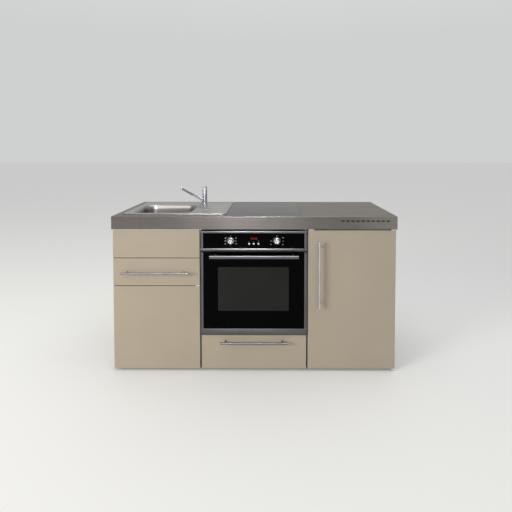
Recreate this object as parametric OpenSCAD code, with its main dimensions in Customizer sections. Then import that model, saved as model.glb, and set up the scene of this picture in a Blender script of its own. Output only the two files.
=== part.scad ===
// Kitchenette unit, 1.6 m wide: one folded steel worktop with an inset sink, a single-lever
// mixer tap and a flush glass hob, over a sink cupboard with a drawer, a built-in oven with a
// drawer below it, and an under-counter fridge.
// Millimetres. +X is to the right, +Y to the back and +Z up, from the floor under the middle
// of the unit's outline. Lengths called y count back from the front face of the worktop's band.

/* [Unit] */
// Width of the worktop
unit_w = 1600; // [1560:10:1800]
// Depth of the worktop
unit_d = 600; // [600:5:640]
// Height of the worktop above the floor
unit_h = 880; // [870:5:900]
// Height of the folded band along the worktop's front and ends
band_h = 72; // [60:1:78]
// Thickness of the worktop's steel sheet
sheet_t = 1.5; // [1:0.1:2]
// Bend radius along the worktop's front edge
fold_r = 3; // [2:0.5:5]
// Depth of the return fold under the band
return_d = 12; // [8:1:16]
// Width of the bay that holds the sink
sink_bay_w = 500; // [490:10:600]
// Width of the bay that holds the oven
oven_bay_w = 600; // [600:1:620]

/* [Carcass] */
// Thickness of the carcass boards
board_t = 16; // [15:0.5:18]
// Distance of the outer boards from the worktop's ends
side_inset = 6; // [4:1:10]
// Distance of the boards' back edges from the worktop's back edge
back_inset = 20; // [14:1:24]
// Thickness of the back panels
back_t = 4; // [3:0.5:6]
// Height of the levelling feet under the boards
foot_h = 20; // [18:1:24]
// Diameter of a levelling foot
foot_dia = 30; // [24:1:36]
// Distance of the feet from the boards' front and back edges
foot_inset = 42; // [40:1:80]
// Height of the cross rails under the worktop
rail_h = 70; // [50:1:76]
// Depth of the flat rail between the drawer and the cupboard
mid_rail_d = 70; // [50:5:100]
// Height of the opening for pipes in the sink bay's back panel
service_h = 160; // [140:5:200]
// Clearance beside the pipes in that opening
service_margin = 16; // [12:1:18]

/* [Fronts] */
// Thickness of the doors and drawer fronts
front_t = 16; // [15:0.5:18]
// Distance of the fronts behind the worktop's band
front_setback = 5; // [3:0.5:8]
// Free space between the fronts and the carcass
front_clear = 5; // [4.5:0.5:8]
// Gap between the band and the fronts
top_gap = 6; // [5:0.5:8]
// Gap between one front and the next
front_gap = 4; // [3.5:0.5:6]
// Height of the fronts' lower edges above the floor
front_bottom = 14; // [12:1:16]
// Gap between the sink bay's fronts and the oven bay
bay_gap = 6; // [3:0.5:8]
// Gap between the fridge door and the oven bay
fridge_gap = 2; // [1:0.5:6]
// Height of the fixed panel in front of the sink
fascia_h = 155; // [150:1:165]
// Height of the drawer front under the fixed panel
drawer_front_h = 154; // [140:1:165]
// Radius of the fronts' upright front edges
front_edge_r = 1.5; // [1:0.25:3]

/* [Bar handles] */
// Diameter of the bars
bar_dia = 12; // [10:0.5:14]
// Diameter of the posts
post_dia = 8; // [6:0.5:9]
// Distance between the posts
post_pitch = 320; // [256:8:352]
// Length of the bar past each post
bar_end = 27; // [15:1:40]
// Distance from the front to the outside of the bar
bar_reach = 35; // [30:1:38]
// Height of the drawer's handle above the drawer front's lower edge
drawer_handle_z = 76; // [60:1:90]
// Height of the lower drawer's handle above its front's lower edge
low_handle_z = 158; // [120:1:165]
// Distance of the fridge handle from the door's opening edge
fridge_handle_x = 61; // [40:1:80]
// Height of the middle of the fridge handle
fridge_handle_z = 556; // [500:1:580]

/* [Sink and hob] */
// Width of the sink plate
sink_w = 600; // [580:5:610]
// Depth of the sink plate
sink_d = 500; // [480:5:510]
// Distance of the sink plate from the worktop's left end
sink_left = 35; // [31:1:40]
// Distance of the sink plate from the band
sink_front = 71; // [64:1:80]
// Height of the raised rim round the sink plate
sink_rim_h = 5; // [3:0.5:7]
// Width of the raised rim
sink_rim_w = 9; // [6:0.5:12]
// Corner radius of the sink plate
sink_r = 18; // [14:1:30]
// Thickness of the sink's steel sheet
sink_t = 1; // [0.8:0.1:1.4]
// Width of the bowl
bowl_w = 362; // [340:2:370]
// Front-to-back size of the bowl
bowl_d = 350; // [320:5:360]
// Depth of the bowl
bowl_depth = 150; // [120:5:155]
// Corner radius of the bowl
bowl_r = 60; // [40:1:80]
// Radius between the bowl's walls and its bottom
bowl_floor_r = 22; // [12:1:30]
// Distance of the bowl from the sink plate's left edge
bowl_left = 26; // [24:1:34]
// Distance of the bowl from the sink plate's front edge
bowl_front = 46; // [36:1:60]
// Number of ribs on the drainer
rib_count = 5; // [3:1:7]
// Length of a drainer rib
rib_len = 140; // [100:5:160]
// Width of a drainer rib
rib_w = 8; // [5:0.5:12]
// Height of a drainer rib
rib_h = 1.5; // [1:0.25:2.5]
// Width of the hob's glass
hob_w = 540; // [500:5:545]
// Depth of the hob's glass
hob_d = 480; // [450:5:490]
// Distance of the hob from the band
hob_front = 60; // [54:1:68]
// Thickness of the hob's glass
hob_t = 4; // [3:0.5:5]
// Gap between the hob's glass and the worktop
hob_gap = 1; // [0.5:0.25:1.5]
// Width of the hob case's rim under the worktop
hob_rim = 9; // [6:1:11]
// Depth of the hob's case under the glass
hob_case_h = 46; // [36:1:50]
// Number of vent slots in the band
slot_count = 10; // [6:1:12]
// Distance from one vent slot to the next
slot_pitch = 28; // [24:0.5:34]
// Length of a vent slot
slot_len = 18; // [12:0.5:22]
// Height of a vent slot
slot_h = 6; // [4:0.5:8]
// Distance of the last vent slot's middle from the worktop's right end
slot_right = 52; // [40:1:80]
// Height of the vent slots below the worktop
slot_drop = 25; // [18:1:34]

/* [Waste] */
// Outside diameter of the waste pipe
waste_dia = 40; // [32:1:40]
// Wall of the waste pipe
waste_wall = 2; // [1.8:0.1:3]
// Diameter of the waste's flange in the bowl
waste_flange_dia = 86; // [80:1:96]
// Diameter of the opening for the strainer basket
basket_dia = 66; // [58:1:70]
// Depth of the waste's cup under the bowl
cup_h = 48; // [46:1:56]
// Radius of the overflow's hole
overflow_r = 10; // [8:0.5:12]
// Radius of the overflow's pipe
overflow_pipe_r = 7; // [5:0.5:8]
// Diameter of the trap's bottle
trap_dia = 64; // [56:1:70]
// Height of the trap's bottle
trap_h = 100; // [80:1:110]

/* [Tap] */
// Distance of the tap from the sink plate's left edge
tap_left = 404; // [396:1:420]
// Distance of the tap from the sink plate's rear edge
tap_back = 39; // [38:1:50]
// Diameter of the tap's body
tap_dia = 42; // [38:0.5:46]
// Height of the whole tap above the sink plate
tap_h = 117; // [105:1:140]
// Height of the turning cap with its lever plate
cap_h = 36; // [30:1:42]
// Length of the lever from the tap's axis
lever_len = 86; // [70:1:110]
// Width of the lever
lever_w = 17; // [12:0.5:20]
// Thickness of the lever
lever_t = 8; // [7:0.25:9]
// Diameter of the spout
spout_dia = 18; // [16:0.5:20]
// Reach of the spout from the tap's axis
spout_reach = 180; // [150:5:210]
// Slope of the spout
spout_angle = 29.5; // [20:0.5:34]
// Length of the outlet below the corner at the spout's end
spout_tip = 18; // [14:0.5:22]
// Direction of the spout, counted from +X
spout_turn = 222.7; // [200:0.1:250]
// Height of the spout's ring
ring_h = 20; // [19:0.5:24]
// Diameter of the tap's threaded shank under the sink plate
shank_dia = 33; // [28:0.5:34]
// Diameter of the two supply pipes
supply_dia = 10; // [8:0.5:12]
// Distance of the supply pipes' lower ends from the tap's axis
supply_spread = 20; // [16:1:26]

/* [Oven] */
// Width of the oven's front
oven_w = 596; // [592:1:597]
// Shift of the oven from the middle of its bay
oven_shift = -2; // [-2:0.5:2]
// Gap between the top of the oven and the fronts' top line
oven_drop = 4; // [2:0.5:6]
// Height of the control panel
control_h = 113; // [105:1:120]
// Gap between the control panel and the oven door
control_gap = 6; // [4:0.5:8]
// Height of the oven door
oven_door_h = 470; // [460:1:475]
// Thickness of the oven door's outer part
oven_door_t = 20; // [18:0.5:20]
// Thickness of the oven door's inner part
oven_inner_t = 18; // [14:0.5:20]
// Width of the upright steel bars at the sides of the glass
oven_bar_w = 14; // [12:0.5:18]
// Height of the control panel's top bar
control_top_bar = 12; // [8:0.5:16]
// Height of the control panel's bottom bar
control_low_bar = 15; // [10:0.5:18]
// Height of the steel bar under the door's glass
oven_low_bar = 36; // [32:1:45]
// Thickness of the glass panels
glass_t = 4; // [3:0.5:5]
// Width of the oven's case
oven_case_w = 556; // [540:2:558]
// Depth of the oven's case behind the carcass front
oven_case_d = 520; // [490:5:530]
// Thickness of the oven's steel sheet
oven_sheet = 1.5; // [1:0.1:2]
// Width inside the cavity
cavity_w = 460; // [420:5:470]
// Height inside the cavity
cavity_h = 340; // [300:5:350]
// Depth inside the cavity
cavity_d = 400; // [360:5:420]
// Height of the cavity's floor above the door's lower edge
cavity_lift = 53; // [50:1:60]
// Levels for the rack and the tray
ledge_count = 4; // [3:1:5]
// Width of a ledge
ledge_w = 8; // [6:0.5:10]
// Height of the oven door's hinge axis above its lower edge
oven_axis_z = 8; // [7:0.5:10]
// Distance of the oven door's hinge axis behind its face
oven_axis_y = 8; // [7:0.5:9]
// Radius of the oven door's hinge pins
oven_pin_r = 2.5; // [2:0.25:3]
// Length of the oven door's handle
oven_handle_len = 494; // [440:2:520]
// Height of the handle's profile
oven_handle_h = 21; // [16:0.5:26]
// Thickness of the handle's profile
oven_handle_t = 14; // [10:0.5:18]
// Distance from the door's face to the front of the handle
handle_reach = 46; // [38:1:55]
// Height of the handle's middle below the door's top edge
oven_handle_drop = 18; // [16:0.5:40]
// Shift of the handle from the oven's middle
oven_handle_x = 3; // [-6:0.5:6]
// Diameter of the knobs
knob_dia = 34; // [28:0.5:38]
// Length of the knobs
knob_len = 22; // [16:0.5:26]
// Distance of each knob from the oven's middle
knob_x = 129; // [110:1:180]
// Height of the knobs above the control panel's lower edge
knob_z = 58; // [50:0.5:64]
// Diameter of the buttons
button_dia = 10; // [8:0.25:12]
// Distance from one button to the next
button_pitch = 26; // [20:0.5:34]
// Height of the buttons above the control panel's lower edge
button_z = 43; // [36:0.5:50]
// Travel of a button
button_travel = 1.5; // [1:0.25:2]
// Diameter of the fan wheel
fan_dia = 140; // [120:2:150]
// Blades on the fan wheel
fan_blades = 8; // [6:1:12]

/* [Lower drawer and upper drawer] */
// Width of the lower drawer's front
low_front_w = 591; // [584:1:592]
// Depth of the drawer boxes
drawer_d = 400; // [350:10:420]
// Thickness of the drawers' folded sheet
drawer_t = 1.5; // [1:0.1:2.5]
// Height of the upper drawer's box
drawer_box_h = 88; // [60:1:90]
// Height of the lower drawer's box
low_box_h = 120; // [80:1:135]
// Space for a runner at each side of a drawer
runner_w = 13; // [12.5:0.25:14]
// Height inside a fixed runner
runner_h = 18; // [14:0.5:22]
// Running clearance of the runners
runner_clear = 0.3; // [0.2:0.05:0.5]

/* [Fridge] */
// Clearance between the fridge and its bay
fridge_clear = 4; // [2:0.5:8]
// Height of the fridge's feet
fridge_foot_h = 30; // [24:1:34]
// Distance from the carcass front back to the fridge case
fridge_case_y = 42; // [38:1:50]
// Depth of the fridge case
fridge_case_d = 470; // [440:5:480]
// Thickness of the fridge's insulation
foam_t = 34; // [28:1:40]
// Thickness of the fridge's outer sheet
skin_t = 1; // [0.8:0.1:1.5]
// Thickness of the fridge's inner lining
liner_t = 2; // [1.5:0.1:3]
// Height of the step over the compressor
step_h = 170; // [160:5:200]
// Depth of the step over the compressor
step_d = 170; // [160:5:190]
// Thickness of the fridge door's seal
seal_t = 9; // [7:0.5:11]
// Height of the frozen-food box
freezer_h = 120; // [100:5:150]
// Depth of the racks in the fridge door
rack_d = 55; // [45:1:60]
// Diameter of the thermostat's dial
dial_dia = 32; // [26:1:36]

/* [Hinges and fits] */
// Radius of the door hinge pins
pin_r = 3; // [2.5:0.25:3.5]
// Length of a hinge pin in the door
pin_len = 14; // [10:1:20]
// Distance of a hinge pin from the door's edge
pin_inset = 8; // [7.5:0.25:8.5]
// Thickness of the hinge plates
plate_t = 2; // [1.5:0.25:2.5]
// Gap between a door and its hinge plates
plate_gap = 1; // [0.5:0.25:1.25]
// Height of an upper hinge plate's upright leaf
bracket_h = 12; // [8:1:16]
// Depth of a lower hinge plate under the carcass
bracket_d = 22; // [14:1:24]
// Radial clearance of pins and shafts in their holes
fit_clear = 0.08; // [0.05:0.01:0.1]
// Space between parts that only pass or seat
seat_clear = 0.3; // [0.2:0.05:0.5]

/* [Hidden] */
$fn = 48;
band_y = handle_reach - (unit_d + handle_reach) / 2;  // the band's face in the unit's frame
x_left = -unit_w / 2;
x_right = unit_w / 2;
sink_bay_x = x_left + sink_bay_w;                     // where the sink bay meets the oven bay
oven_bay_x = sink_bay_x + oven_bay_w;                 // where the oven bay meets the fridge bay
board_x0 = x_left + side_inset;
board_x1 = x_right - side_inset;
deck_z = unit_h - sheet_t;                            // underside of the worktop
band_z = unit_h - band_h;
front_y0 = front_setback;
front_y1 = front_setback + front_t;
carcass_y0 = front_y1 + front_clear;
carcass_y1 = unit_d - back_inset;
floor_z = foot_h + board_t;                           // top of the carcass floors
fronts_top = band_z - top_gap;

sink_room = [board_x0 + board_t, sink_bay_x];         // clear width of each bay
oven_room = [sink_bay_x + board_t, oven_bay_x - board_t];
fridge_room = [oven_bay_x, board_x1 - board_t];

fascia_z0 = fronts_top - fascia_h;
fascia_block_w = 20;                                  // blocks that screw the fixed front to the carcass
fascia_block_d = 30;
drawer_z1 = fascia_z0 - front_gap;
drawer_z0 = drawer_z1 - drawer_front_h;
cupboard_z1 = drawer_z0 - front_gap;
left_front = [board_x0, sink_bay_x - bay_gap];

oven_x = (sink_bay_x + oven_bay_x) / 2 + oven_shift;
oven_top = fronts_top - oven_drop;
control_z0 = oven_top - control_h;
oven_door_z1 = control_z0 - control_gap;
oven_door_z0 = oven_door_z1 - oven_door_h;
low_front_z1 = oven_door_z0 - front_gap;              // leaves room for the door's turning edge
mid_rail_z0 = cupboard_z1 + plate_gap + bracket_h - board_t;
shelf_z1 = low_front_z1;
shelf_z0 = shelf_z1 - board_t;
flange_t = 2;
flange_y0 = carcass_y0 - flange_t;
cavity_y0 = oven_door_t + oven_inner_t + 6;           // 6 is the space for the door's seal
oven_mouth_w = oven_w - 60;                           // the case's opening for the door
oven_inner_w = oven_mouth_w - 12;
inner_z0 = oven_door_z0 + 26;
inner_z1 = oven_door_z1 - 14;
inner_glass_t = 3;
inner_glass_rim = 6;                                  // steel left round the door's inner glass
cavity_z0 = oven_door_z0 + cavity_lift;
oven_case_deck = control_z0 - 4;                      // sheet between the controls' space and the cavity's
cavity_y1 = cavity_y0 + oven_sheet + cavity_d;
cavity_x = [oven_x - cavity_w / 2, oven_x + cavity_w / 2];
lug_x = oven_w / 2 - 24;                              // hinge lugs to each side of the oven's middle
lug_w = 6;
knob_shaft_r = 3;
button_stem_r = 2.5;
fan_z = cavity_z0 + cavity_h / 2;
fan_shaft_r = 4;
fan_cover_d = 30;
fan_depth = 22;                                       // from the cavity's back wall to the fan's disc
fan_disc_t = 2;
fan_shaft_back = 24;                                  // behind the cavity's back wall
grill_r = 3.5;
grill_pitch = 90;
grill_inset = 70;
grill_drop = 16;                                      // below the cavity's ceiling

fridge_door = [oven_bay_x + fridge_gap, board_x1];
fridge_x0 = fridge_room[0] + fridge_clear;
fridge_x1 = fridge_room[1] - fridge_clear;
fridge_y0 = carcass_y0 + fridge_case_y;
fridge_y1 = fridge_y0 + fridge_case_d;
fridge_z1 = fronts_top - 4;
liner_x0 = fridge_x0 + skin_t + foam_t;
liner_x1 = fridge_x1 - skin_t - foam_t;
liner_z0 = fridge_foot_h + skin_t + foam_t;
liner_z1 = fridge_z1 - skin_t - foam_t;
liner_y1 = fridge_y1 - skin_t - foam_t;
door_liner_y1 = fridge_y0 - seal_t;
step_top = fridge_foot_h + step_h;                    // top of the compressor's space
fittings_y0 = fridge_y0 + rack_d + 6;                 // front of the shelves, clear of the door's racks
shelf_levels = [300, 440];
shelf_t = 4;
crisper_t = 2;
crisper_side_gap = 4;
crisper_back_gap = 6;
crisper_top = 190;                                    // above the bottom of the liner
rack_ledge = 3;                                       // the ledge that the oven's rack rests on
rack_wall = 2;
rack_inset = 14;                                      // of the door's racks from the liner's sides
racks = [[24, 90], [330, 60]];                        // level above the liner's bottom, height
dial_z = liner_z1 - liner_t - freezer_h - 60;
dial_y = fittings_y0 + 40;
dial_box_w = 34;
dial_x = liner_x1 - liner_t - dial_box_w;             // the face that the dial turns on
dial_shaft_r = 3;

hinge_y = front_y0 + front_t / 2;
cupboard_axis_x = left_front[1] - pin_inset;
fridge_axis_x = fridge_door[1] - pin_inset;
bracket_reach = 12;                                   // how far a hinge plate reaches past its pin

sink_x0 = x_left + sink_left;
bowl_x0 = sink_x0 + bowl_left;
bowl_y0 = sink_front + bowl_front;
bowl_cx = bowl_x0 + bowl_w / 2;
bowl_cy = bowl_y0 + bowl_d / 2;
plate_z = unit_h + sink_t;                            // top of the sink plate inside its rim
bowl_z0 = plate_z - bowl_depth;                       // the bowl's inner bottom
cutout_margin = 14;                                   // worktop left under the sink's rim
flange_z = bowl_z0 + 1.5;                             // top of the waste's flange
cup_r = basket_dia / 2 + waste_wall + 1 - seat_clear;
cup_z0 = bowl_z0 - cup_h;
waste_z = cup_z0 + waste_dia / 2 + 1;                 // axis of the pipe out of the cup
overflow_z = plate_z - 32;
overflow_x = bowl_cx - 70;                            // clear of the pipe out of the cup
trap_y = carcass_y1 - back_t - trap_dia / 2 - 20;
outlet_z = waste_z - 52;

tap_x = sink_x0 + tap_left;
shank_z0 = unit_h - 40;
supply_x = supply_dia * 0.65;                         // each pipe's distance from the tap's axis in the shank
supply_in = 20;                                       // how far the pipes reach up into the shank
supply_drop = 12;                                     // their upright stretch below the shank
supply_z1 = shank_z0 - supply_drop - (supply_spread - supply_x);
supply_nut = [5, 11];                                 // ends of each pipe's nut behind the tap's axis
pipes_y1 = unit_d - 6;                                // ends of the pipes and the waste, short of the wall
service_x = [
    bowl_cx - waste_dia / 2 - service_margin,
    tap_x + supply_spread + supply_dia / 2 + service_margin,
];
tap_y = sink_front + sink_d - tap_back;
cap_z = plate_z + tap_h - cap_h;
lever_z = plate_z + tap_h - lever_t;
ring_z = plate_z + 4;
neck_r = tap_dia / 2 - 4;
lever_pin_r = 1.5;
barrel_r = lever_t / 2;
lever_axis_y = tap_dia / 2 - barrel_r - 1;            // the lever's hinge, behind the tap's axis
lever_axis_z = lever_z + barrel_r;
lever_ear_x = 7;                                      // middle of each ear that holds the pin
lever_ear_w = 3;

hob_x = (sink_bay_x + oven_bay_x) / 2;
hob_lip = 8;                                          // how far the hob's frame reaches under the glass
hob_r = 5;

runner_z = (drawer_z0 + drawer_z1) / 2 - 22;          // middle of the upper drawer's runners
low_runner_z = floor_z + low_box_h / 2;

front_colour = [0.70, 0.66, 0.57];
steel_colour = [0.56, 0.55, 0.53];
chrome_colour = [0.80, 0.80, 0.83];
black_glass = [0.03, 0.03, 0.035];
enamel_colour = [0.13, 0.13, 0.15];
board_colour = [0.74, 0.73, 0.76];
white_colour = [0.90, 0.90, 0.90];
zinc_colour = [0.62, 0.64, 0.66];

// ---- shared shapes ----

// Moves a piece from the band's face to the unit's own frame
module seat() {
    translate([0, band_y, 0]) children();
}

// A block between two values along each axis
module block(x, y, z) {
    translate([x[0], y[0], z[0]]) cube([x[1] - x[0], y[1] - y[0], z[1] - z[0]]);
}

// A rectangle with round corners
module round_rect(x, y, r) {
    translate([x[0] + r, y[0]]) square([x[1] - x[0] - 2 * r, y[1] - y[0]]);
    translate([x[0], y[0] + r]) square([x[1] - x[0], y[1] - y[0] - 2 * r]);
    for (cx = [x[0] + r, x[1] - r], cy = [y[0] + r, y[1] - r]) translate([cx, cy]) circle(r);
}

// A flat plate with round upright corners
module round_plate(x, y, z, r) {
    translate([0, 0, z[0]]) linear_extrude(z[1] - z[0]) round_rect(x, y, r);
}

// A frame: one block less a smaller one right through it along Y
module ring_y(x, y, z, wall_x, wall_z) {
    difference() {
        block(x, y, z);
        block([x[0] + wall_x, x[1] - wall_x], [y[0] - 1, y[1] + 1], [z[0] + wall_z, z[1] - wall_z]);
    }
}

// A rod along one axis, from a starting point
module rod_x(x, y, z, r) {
    translate([x[0], y, z]) rotate([0, 90, 0]) cylinder(r = r, h = x[1] - x[0]);
}
module rod_y(x, y, z, r) {
    translate([x, y[0], z]) rotate([-90, 0, 0]) cylinder(r = r, h = y[1] - y[0]);
}
module rod_z(x, y, z, r) {
    translate([x, y, z[0]]) cylinder(r = r, h = z[1] - z[0]);
}

// A tub with round corners and a round edge along its floor, open at the top
module tub(w, d, h, corner_r, floor_r) {
    span_x = w - 2 * corner_r;
    span_y = d - 2 * corner_r;
    for (sx = [-1, 1], sy = [-1, 1]) translate([sx * span_x / 2, sy * span_y / 2, 0]) rotate_extrude() {
        translate([0, floor_r]) square([corner_r, h - floor_r]);
        square([corner_r - floor_r, h]);
        translate([corner_r - floor_r, floor_r]) intersection() {
            circle(floor_r);
            translate([0, -floor_r]) square(floor_r);
        }
    }
    translate([-span_x / 2, 0, 0]) rotate([90, 0, 90]) linear_extrude(span_x) tub_profile(d, h, floor_r);
    translate([0, span_y / 2, 0]) rotate([90, 0, 0]) linear_extrude(span_y) tub_profile(w, h, floor_r);
}
module tub_profile(w, h, floor_r) {
    translate([-w / 2, floor_r]) square([w, h - floor_r]);
    translate([-w / 2 + floor_r, 0]) square([w - 2 * floor_r, h]);
    for (s = [-1, 1]) translate([s * (w / 2 - floor_r), floor_r]) circle(floor_r);
}

// A door or drawer front: a board whose upright front edges are rounded
module front_board(x, z) {
    round_plate(x, [front_y0, front_y1], z, front_edge_r);
}

// A bar handle that runs along X, with its posts standing on a front at y = 0
module bar_handle() {
    bar_y = -(bar_reach - bar_dia / 2);
    half = post_pitch / 2 + bar_end;
    rod_x([-half, half], bar_y, 0, bar_dia / 2);
    for (s = [-1, 1]) rod_y(s * post_pitch / 2, [bar_y, 0], 0, post_dia / 2);
}

// An open-topped drawer box of folded sheet, with a runner along each side
module sheet_drawer(x, z0, h, rail_z) {
    y = [front_y1, front_y1 + drawer_d];
    t = drawer_t;
    reach = runner_w - t - runner_clear;
    half = runner_h / 2 - runner_clear;
    difference() {
        block(x, y, [z0, z0 + h]);
        block([x[0] + t, x[1] - t], [y[0] + t, y[1] - t], [z0 + t, z0 + h + 1]);
    }
    for (side = [[x[0] - reach, x[0]], [x[1], x[1] + reach]])
        block(side, [carcass_y0 + 2, y[1] - 4], [rail_z - half, rail_z + half]);
}

// A pair of fixed channels that face each other across a bay
module fixed_runners(room, rail_z) {
    y = [carcass_y0 + 1, front_y1 + drawer_d + 6];
    half = runner_h / 2;
    lip = runner_w - 1;
    for (s = [0, 1]) {
        wall = s == 0 ? [room[0], room[0] + drawer_t] : [room[1] - drawer_t, room[1]];
        lips = s == 0 ? [room[0], room[0] + lip] : [room[1] - lip, room[1]];
        block(wall, y, [rail_z - half - drawer_t, rail_z + half + drawer_t]);
        block(lips, y, [rail_z - half - drawer_t, rail_z - half]);
        block(lips, y, [rail_z + half, rail_z + half + drawer_t]);
    }
}

// ---- worktop, sink, waste, tap and hob ----

module worktop() {
    color(steel_colour) seat() difference() {
        union() {
            translate([x_left, 0, 0]) rotate([90, 0, 90]) linear_extrude(unit_w) worktop_profile();
            for (x = [[x_left, x_left + sheet_t], [x_right - sheet_t, x_right]])
                block(x, [fold_r, unit_d], [band_z, unit_h - sheet_t / 2]);
        }
        round_plate([sink_x0 + cutout_margin, sink_x0 + sink_w - cutout_margin],
            [sink_front + cutout_margin, sink_front + sink_d - cutout_margin],
            [deck_z - 1, unit_h + 1], sink_r);
        round_plate([hob_x - hob_w / 2 - hob_gap, hob_x + hob_w / 2 + hob_gap],
            [hob_front - hob_gap, hob_front + hob_d + hob_gap], [deck_z - 1, unit_h + 1], hob_r + hob_gap);
        for (i = [0 : slot_count - 1]) vent_slot(x_right - slot_right - i * slot_pitch);
    }
}

module worktop_profile() {
    inner_r = fold_r - sheet_t;
    difference() {
        union() {
            translate([fold_r, unit_h - 2 * fold_r]) square([unit_d - fold_r, 2 * fold_r]);
            translate([0, band_z]) square([2 * fold_r, band_h - fold_r]);
            translate([fold_r, unit_h - fold_r]) circle(fold_r);
        }
        translate([fold_r, unit_h - fold_r - 3 * fold_r]) square([unit_d, 4 * fold_r - sheet_t]);
        translate([sheet_t, band_z - 1]) square([2 * fold_r, band_h - fold_r + 1]);
        translate([fold_r, unit_h - fold_r]) circle(inner_r);
    }
    translate([0, band_z]) square([return_d, sheet_t]);
    translate([unit_d - sheet_t, unit_h - 2 * return_d]) square([sheet_t, 2 * return_d]);
}

module vent_slot(x) {
    z = unit_h - slot_drop;
    straight = (slot_len - slot_h) / 2;
    block([x - straight, x + straight], [-1, sheet_t + 1], [z - slot_h / 2, z + slot_h / 2]);
    for (s = [-1, 1]) rod_y(x + s * straight, [-1, sheet_t + 1], z, slot_h / 2);
}

module sink() {
    x = [sink_x0, sink_x0 + sink_w];
    y = [sink_front, sink_front + sink_d];
    color(steel_colour) seat() difference() {
        union() {
            round_plate(x, y, [unit_h, plate_z], sink_r);
            difference() {
                round_plate(x, y, [unit_h, unit_h + sink_rim_h], sink_r);
                round_plate([x[0] + sink_rim_w, x[1] - sink_rim_w], [y[0] + sink_rim_w, y[1] - sink_rim_w],
                    [plate_z, unit_h + sink_rim_h + 1], sink_r - sink_rim_w / 2);
            }
            translate([bowl_cx, bowl_cy, bowl_z0 - sink_t]) tub(bowl_w + 2 * sink_t, bowl_d + 2 * sink_t,
                bowl_depth + sink_t, bowl_r + sink_t, bowl_floor_r + sink_t);
            for (i = [0 : rib_count - 1]) drainer_rib(i);
        }
        translate([bowl_cx, bowl_cy, bowl_z0]) tub(bowl_w, bowl_d, bowl_depth + 9, bowl_r, bowl_floor_r);
        rod_z(bowl_cx, bowl_cy, [bowl_z0 - 9, bowl_z0 + 9], basket_dia / 2 + waste_wall + 1);
        rod_z(tap_x, tap_y, [unit_h - 9, unit_h + 9], shank_dia / 2 + 1);
        rod_y(overflow_x, [bowl_y0 + bowl_d - 9, bowl_y0 + bowl_d + 9], overflow_z, overflow_r);
    }
}

// One raised rib of the drainer, with round ends
module drainer_rib(i) {
    margin = 78;
    first_y = sink_front + margin;
    last_y = sink_front + sink_d - margin;
    y = first_y + i * (last_y - first_y) / (rib_count - 1);
    x1 = sink_x0 + sink_w - 34;
    beside_tap = y > tap_y - tap_dia;
    x0 = x1 - (beside_tap ? rib_len / 2 : rib_len);
    round_plate([x0, x1], [y - rib_w / 2, y + rib_w / 2], [unit_h, plate_z + rib_h], rib_w / 2 - 0.1);
}

// The waste's flange and cup, and the overflow pipe from the bowl's back wall into the cup
module sink_waste() {
    collar_r = overflow_r + 4;
    collar_y = [bowl_y0 + bowl_d + sink_t, bowl_y0 + bowl_d + sink_t + 22];
    pipe_y = collar_y[0] + 14;
    pipe_z = cup_z0 + cup_h / 2;
    nut_z = [bowl_z0 - sink_t - 3, bowl_z0 - sink_t];
    color(chrome_colour) seat() difference() {
        union() {
            rod_z(bowl_cx, bowl_cy, [bowl_z0, flange_z], waste_flange_dia / 2);
            rod_z(bowl_cx, bowl_cy, [cup_z0, flange_z], cup_r);
            rod_z(bowl_cx, bowl_cy, nut_z, waste_flange_dia / 2 - 4);
            rod_y(overflow_x, collar_y, overflow_z, collar_r);
            rod_z(overflow_x, pipe_y, [pipe_z, overflow_z], overflow_pipe_r);
            rod_y(overflow_x, [bowl_cy, pipe_y], pipe_z, overflow_pipe_r);
            rod_x([overflow_x, bowl_cx - cup_r + waste_wall], bowl_cy, pipe_z, overflow_pipe_r);
            for (y = [bowl_cy, pipe_y]) translate([overflow_x, y, pipe_z]) sphere(overflow_pipe_r);
        }
        rod_z(bowl_cx, bowl_cy, [cup_z0 + 2, flange_z + 9], basket_dia / 2);
        rod_y(bowl_cx, [bowl_cy, bowl_cy + cup_r + 9], waste_z, waste_dia / 2 - waste_wall);
        rod_y(overflow_x, [collar_y[0] - 1, collar_y[1] - 10], overflow_z, overflow_r);
    }
}

module sink_trap() {
    r = waste_dia / 2;
    bore = r - waste_wall;
    wall = 3;
    bottle_z = [waste_z - 30 - trap_h, waste_z - 30];
    nut_y0 = trap_y + trap_dia / 2 + 2;
    color(white_colour) seat() difference() {
        union() {
            rod_y(bowl_cx, [bowl_cy + cup_r, trap_y], waste_z, r);
            rod_z(bowl_cx, trap_y, [bottle_z[1] - 4, waste_z], r);
            translate([bowl_cx, trap_y, waste_z]) sphere(r);
            rod_z(bowl_cx, trap_y, bottle_z, trap_dia / 2);
            rod_y(bowl_cx, [trap_y, pipes_y1], outlet_z, r);
            rod_y(bowl_cx, [nut_y0, nut_y0 + 12], outlet_z, r + 5);
        }
        rod_y(bowl_cx, [bowl_cy + cup_r - 1, trap_y], waste_z, bore);
        rod_z(bowl_cx, trap_y, [bottle_z[1] - 9, waste_z], bore);
        rod_z(bowl_cx, trap_y, [bottle_z[0] + wall, bottle_z[1] - wall], trap_dia / 2 - wall);
        rod_y(bowl_cx, [trap_y, unit_d], outlet_z, bore);
    }
}

module tap_body() {
    foot_r = tap_dia / 2 + 2;
    color(chrome_colour) seat() {
        rod_z(tap_x, tap_y, [plate_z, ring_z - seat_clear], foot_r);
        rod_z(tap_x, tap_y, [plate_z, cap_z - seat_clear], neck_r);
        rod_z(tap_x, tap_y, [ring_z + ring_h + seat_clear, cap_z - seat_clear], tap_dia / 2);
    }
}

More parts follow.
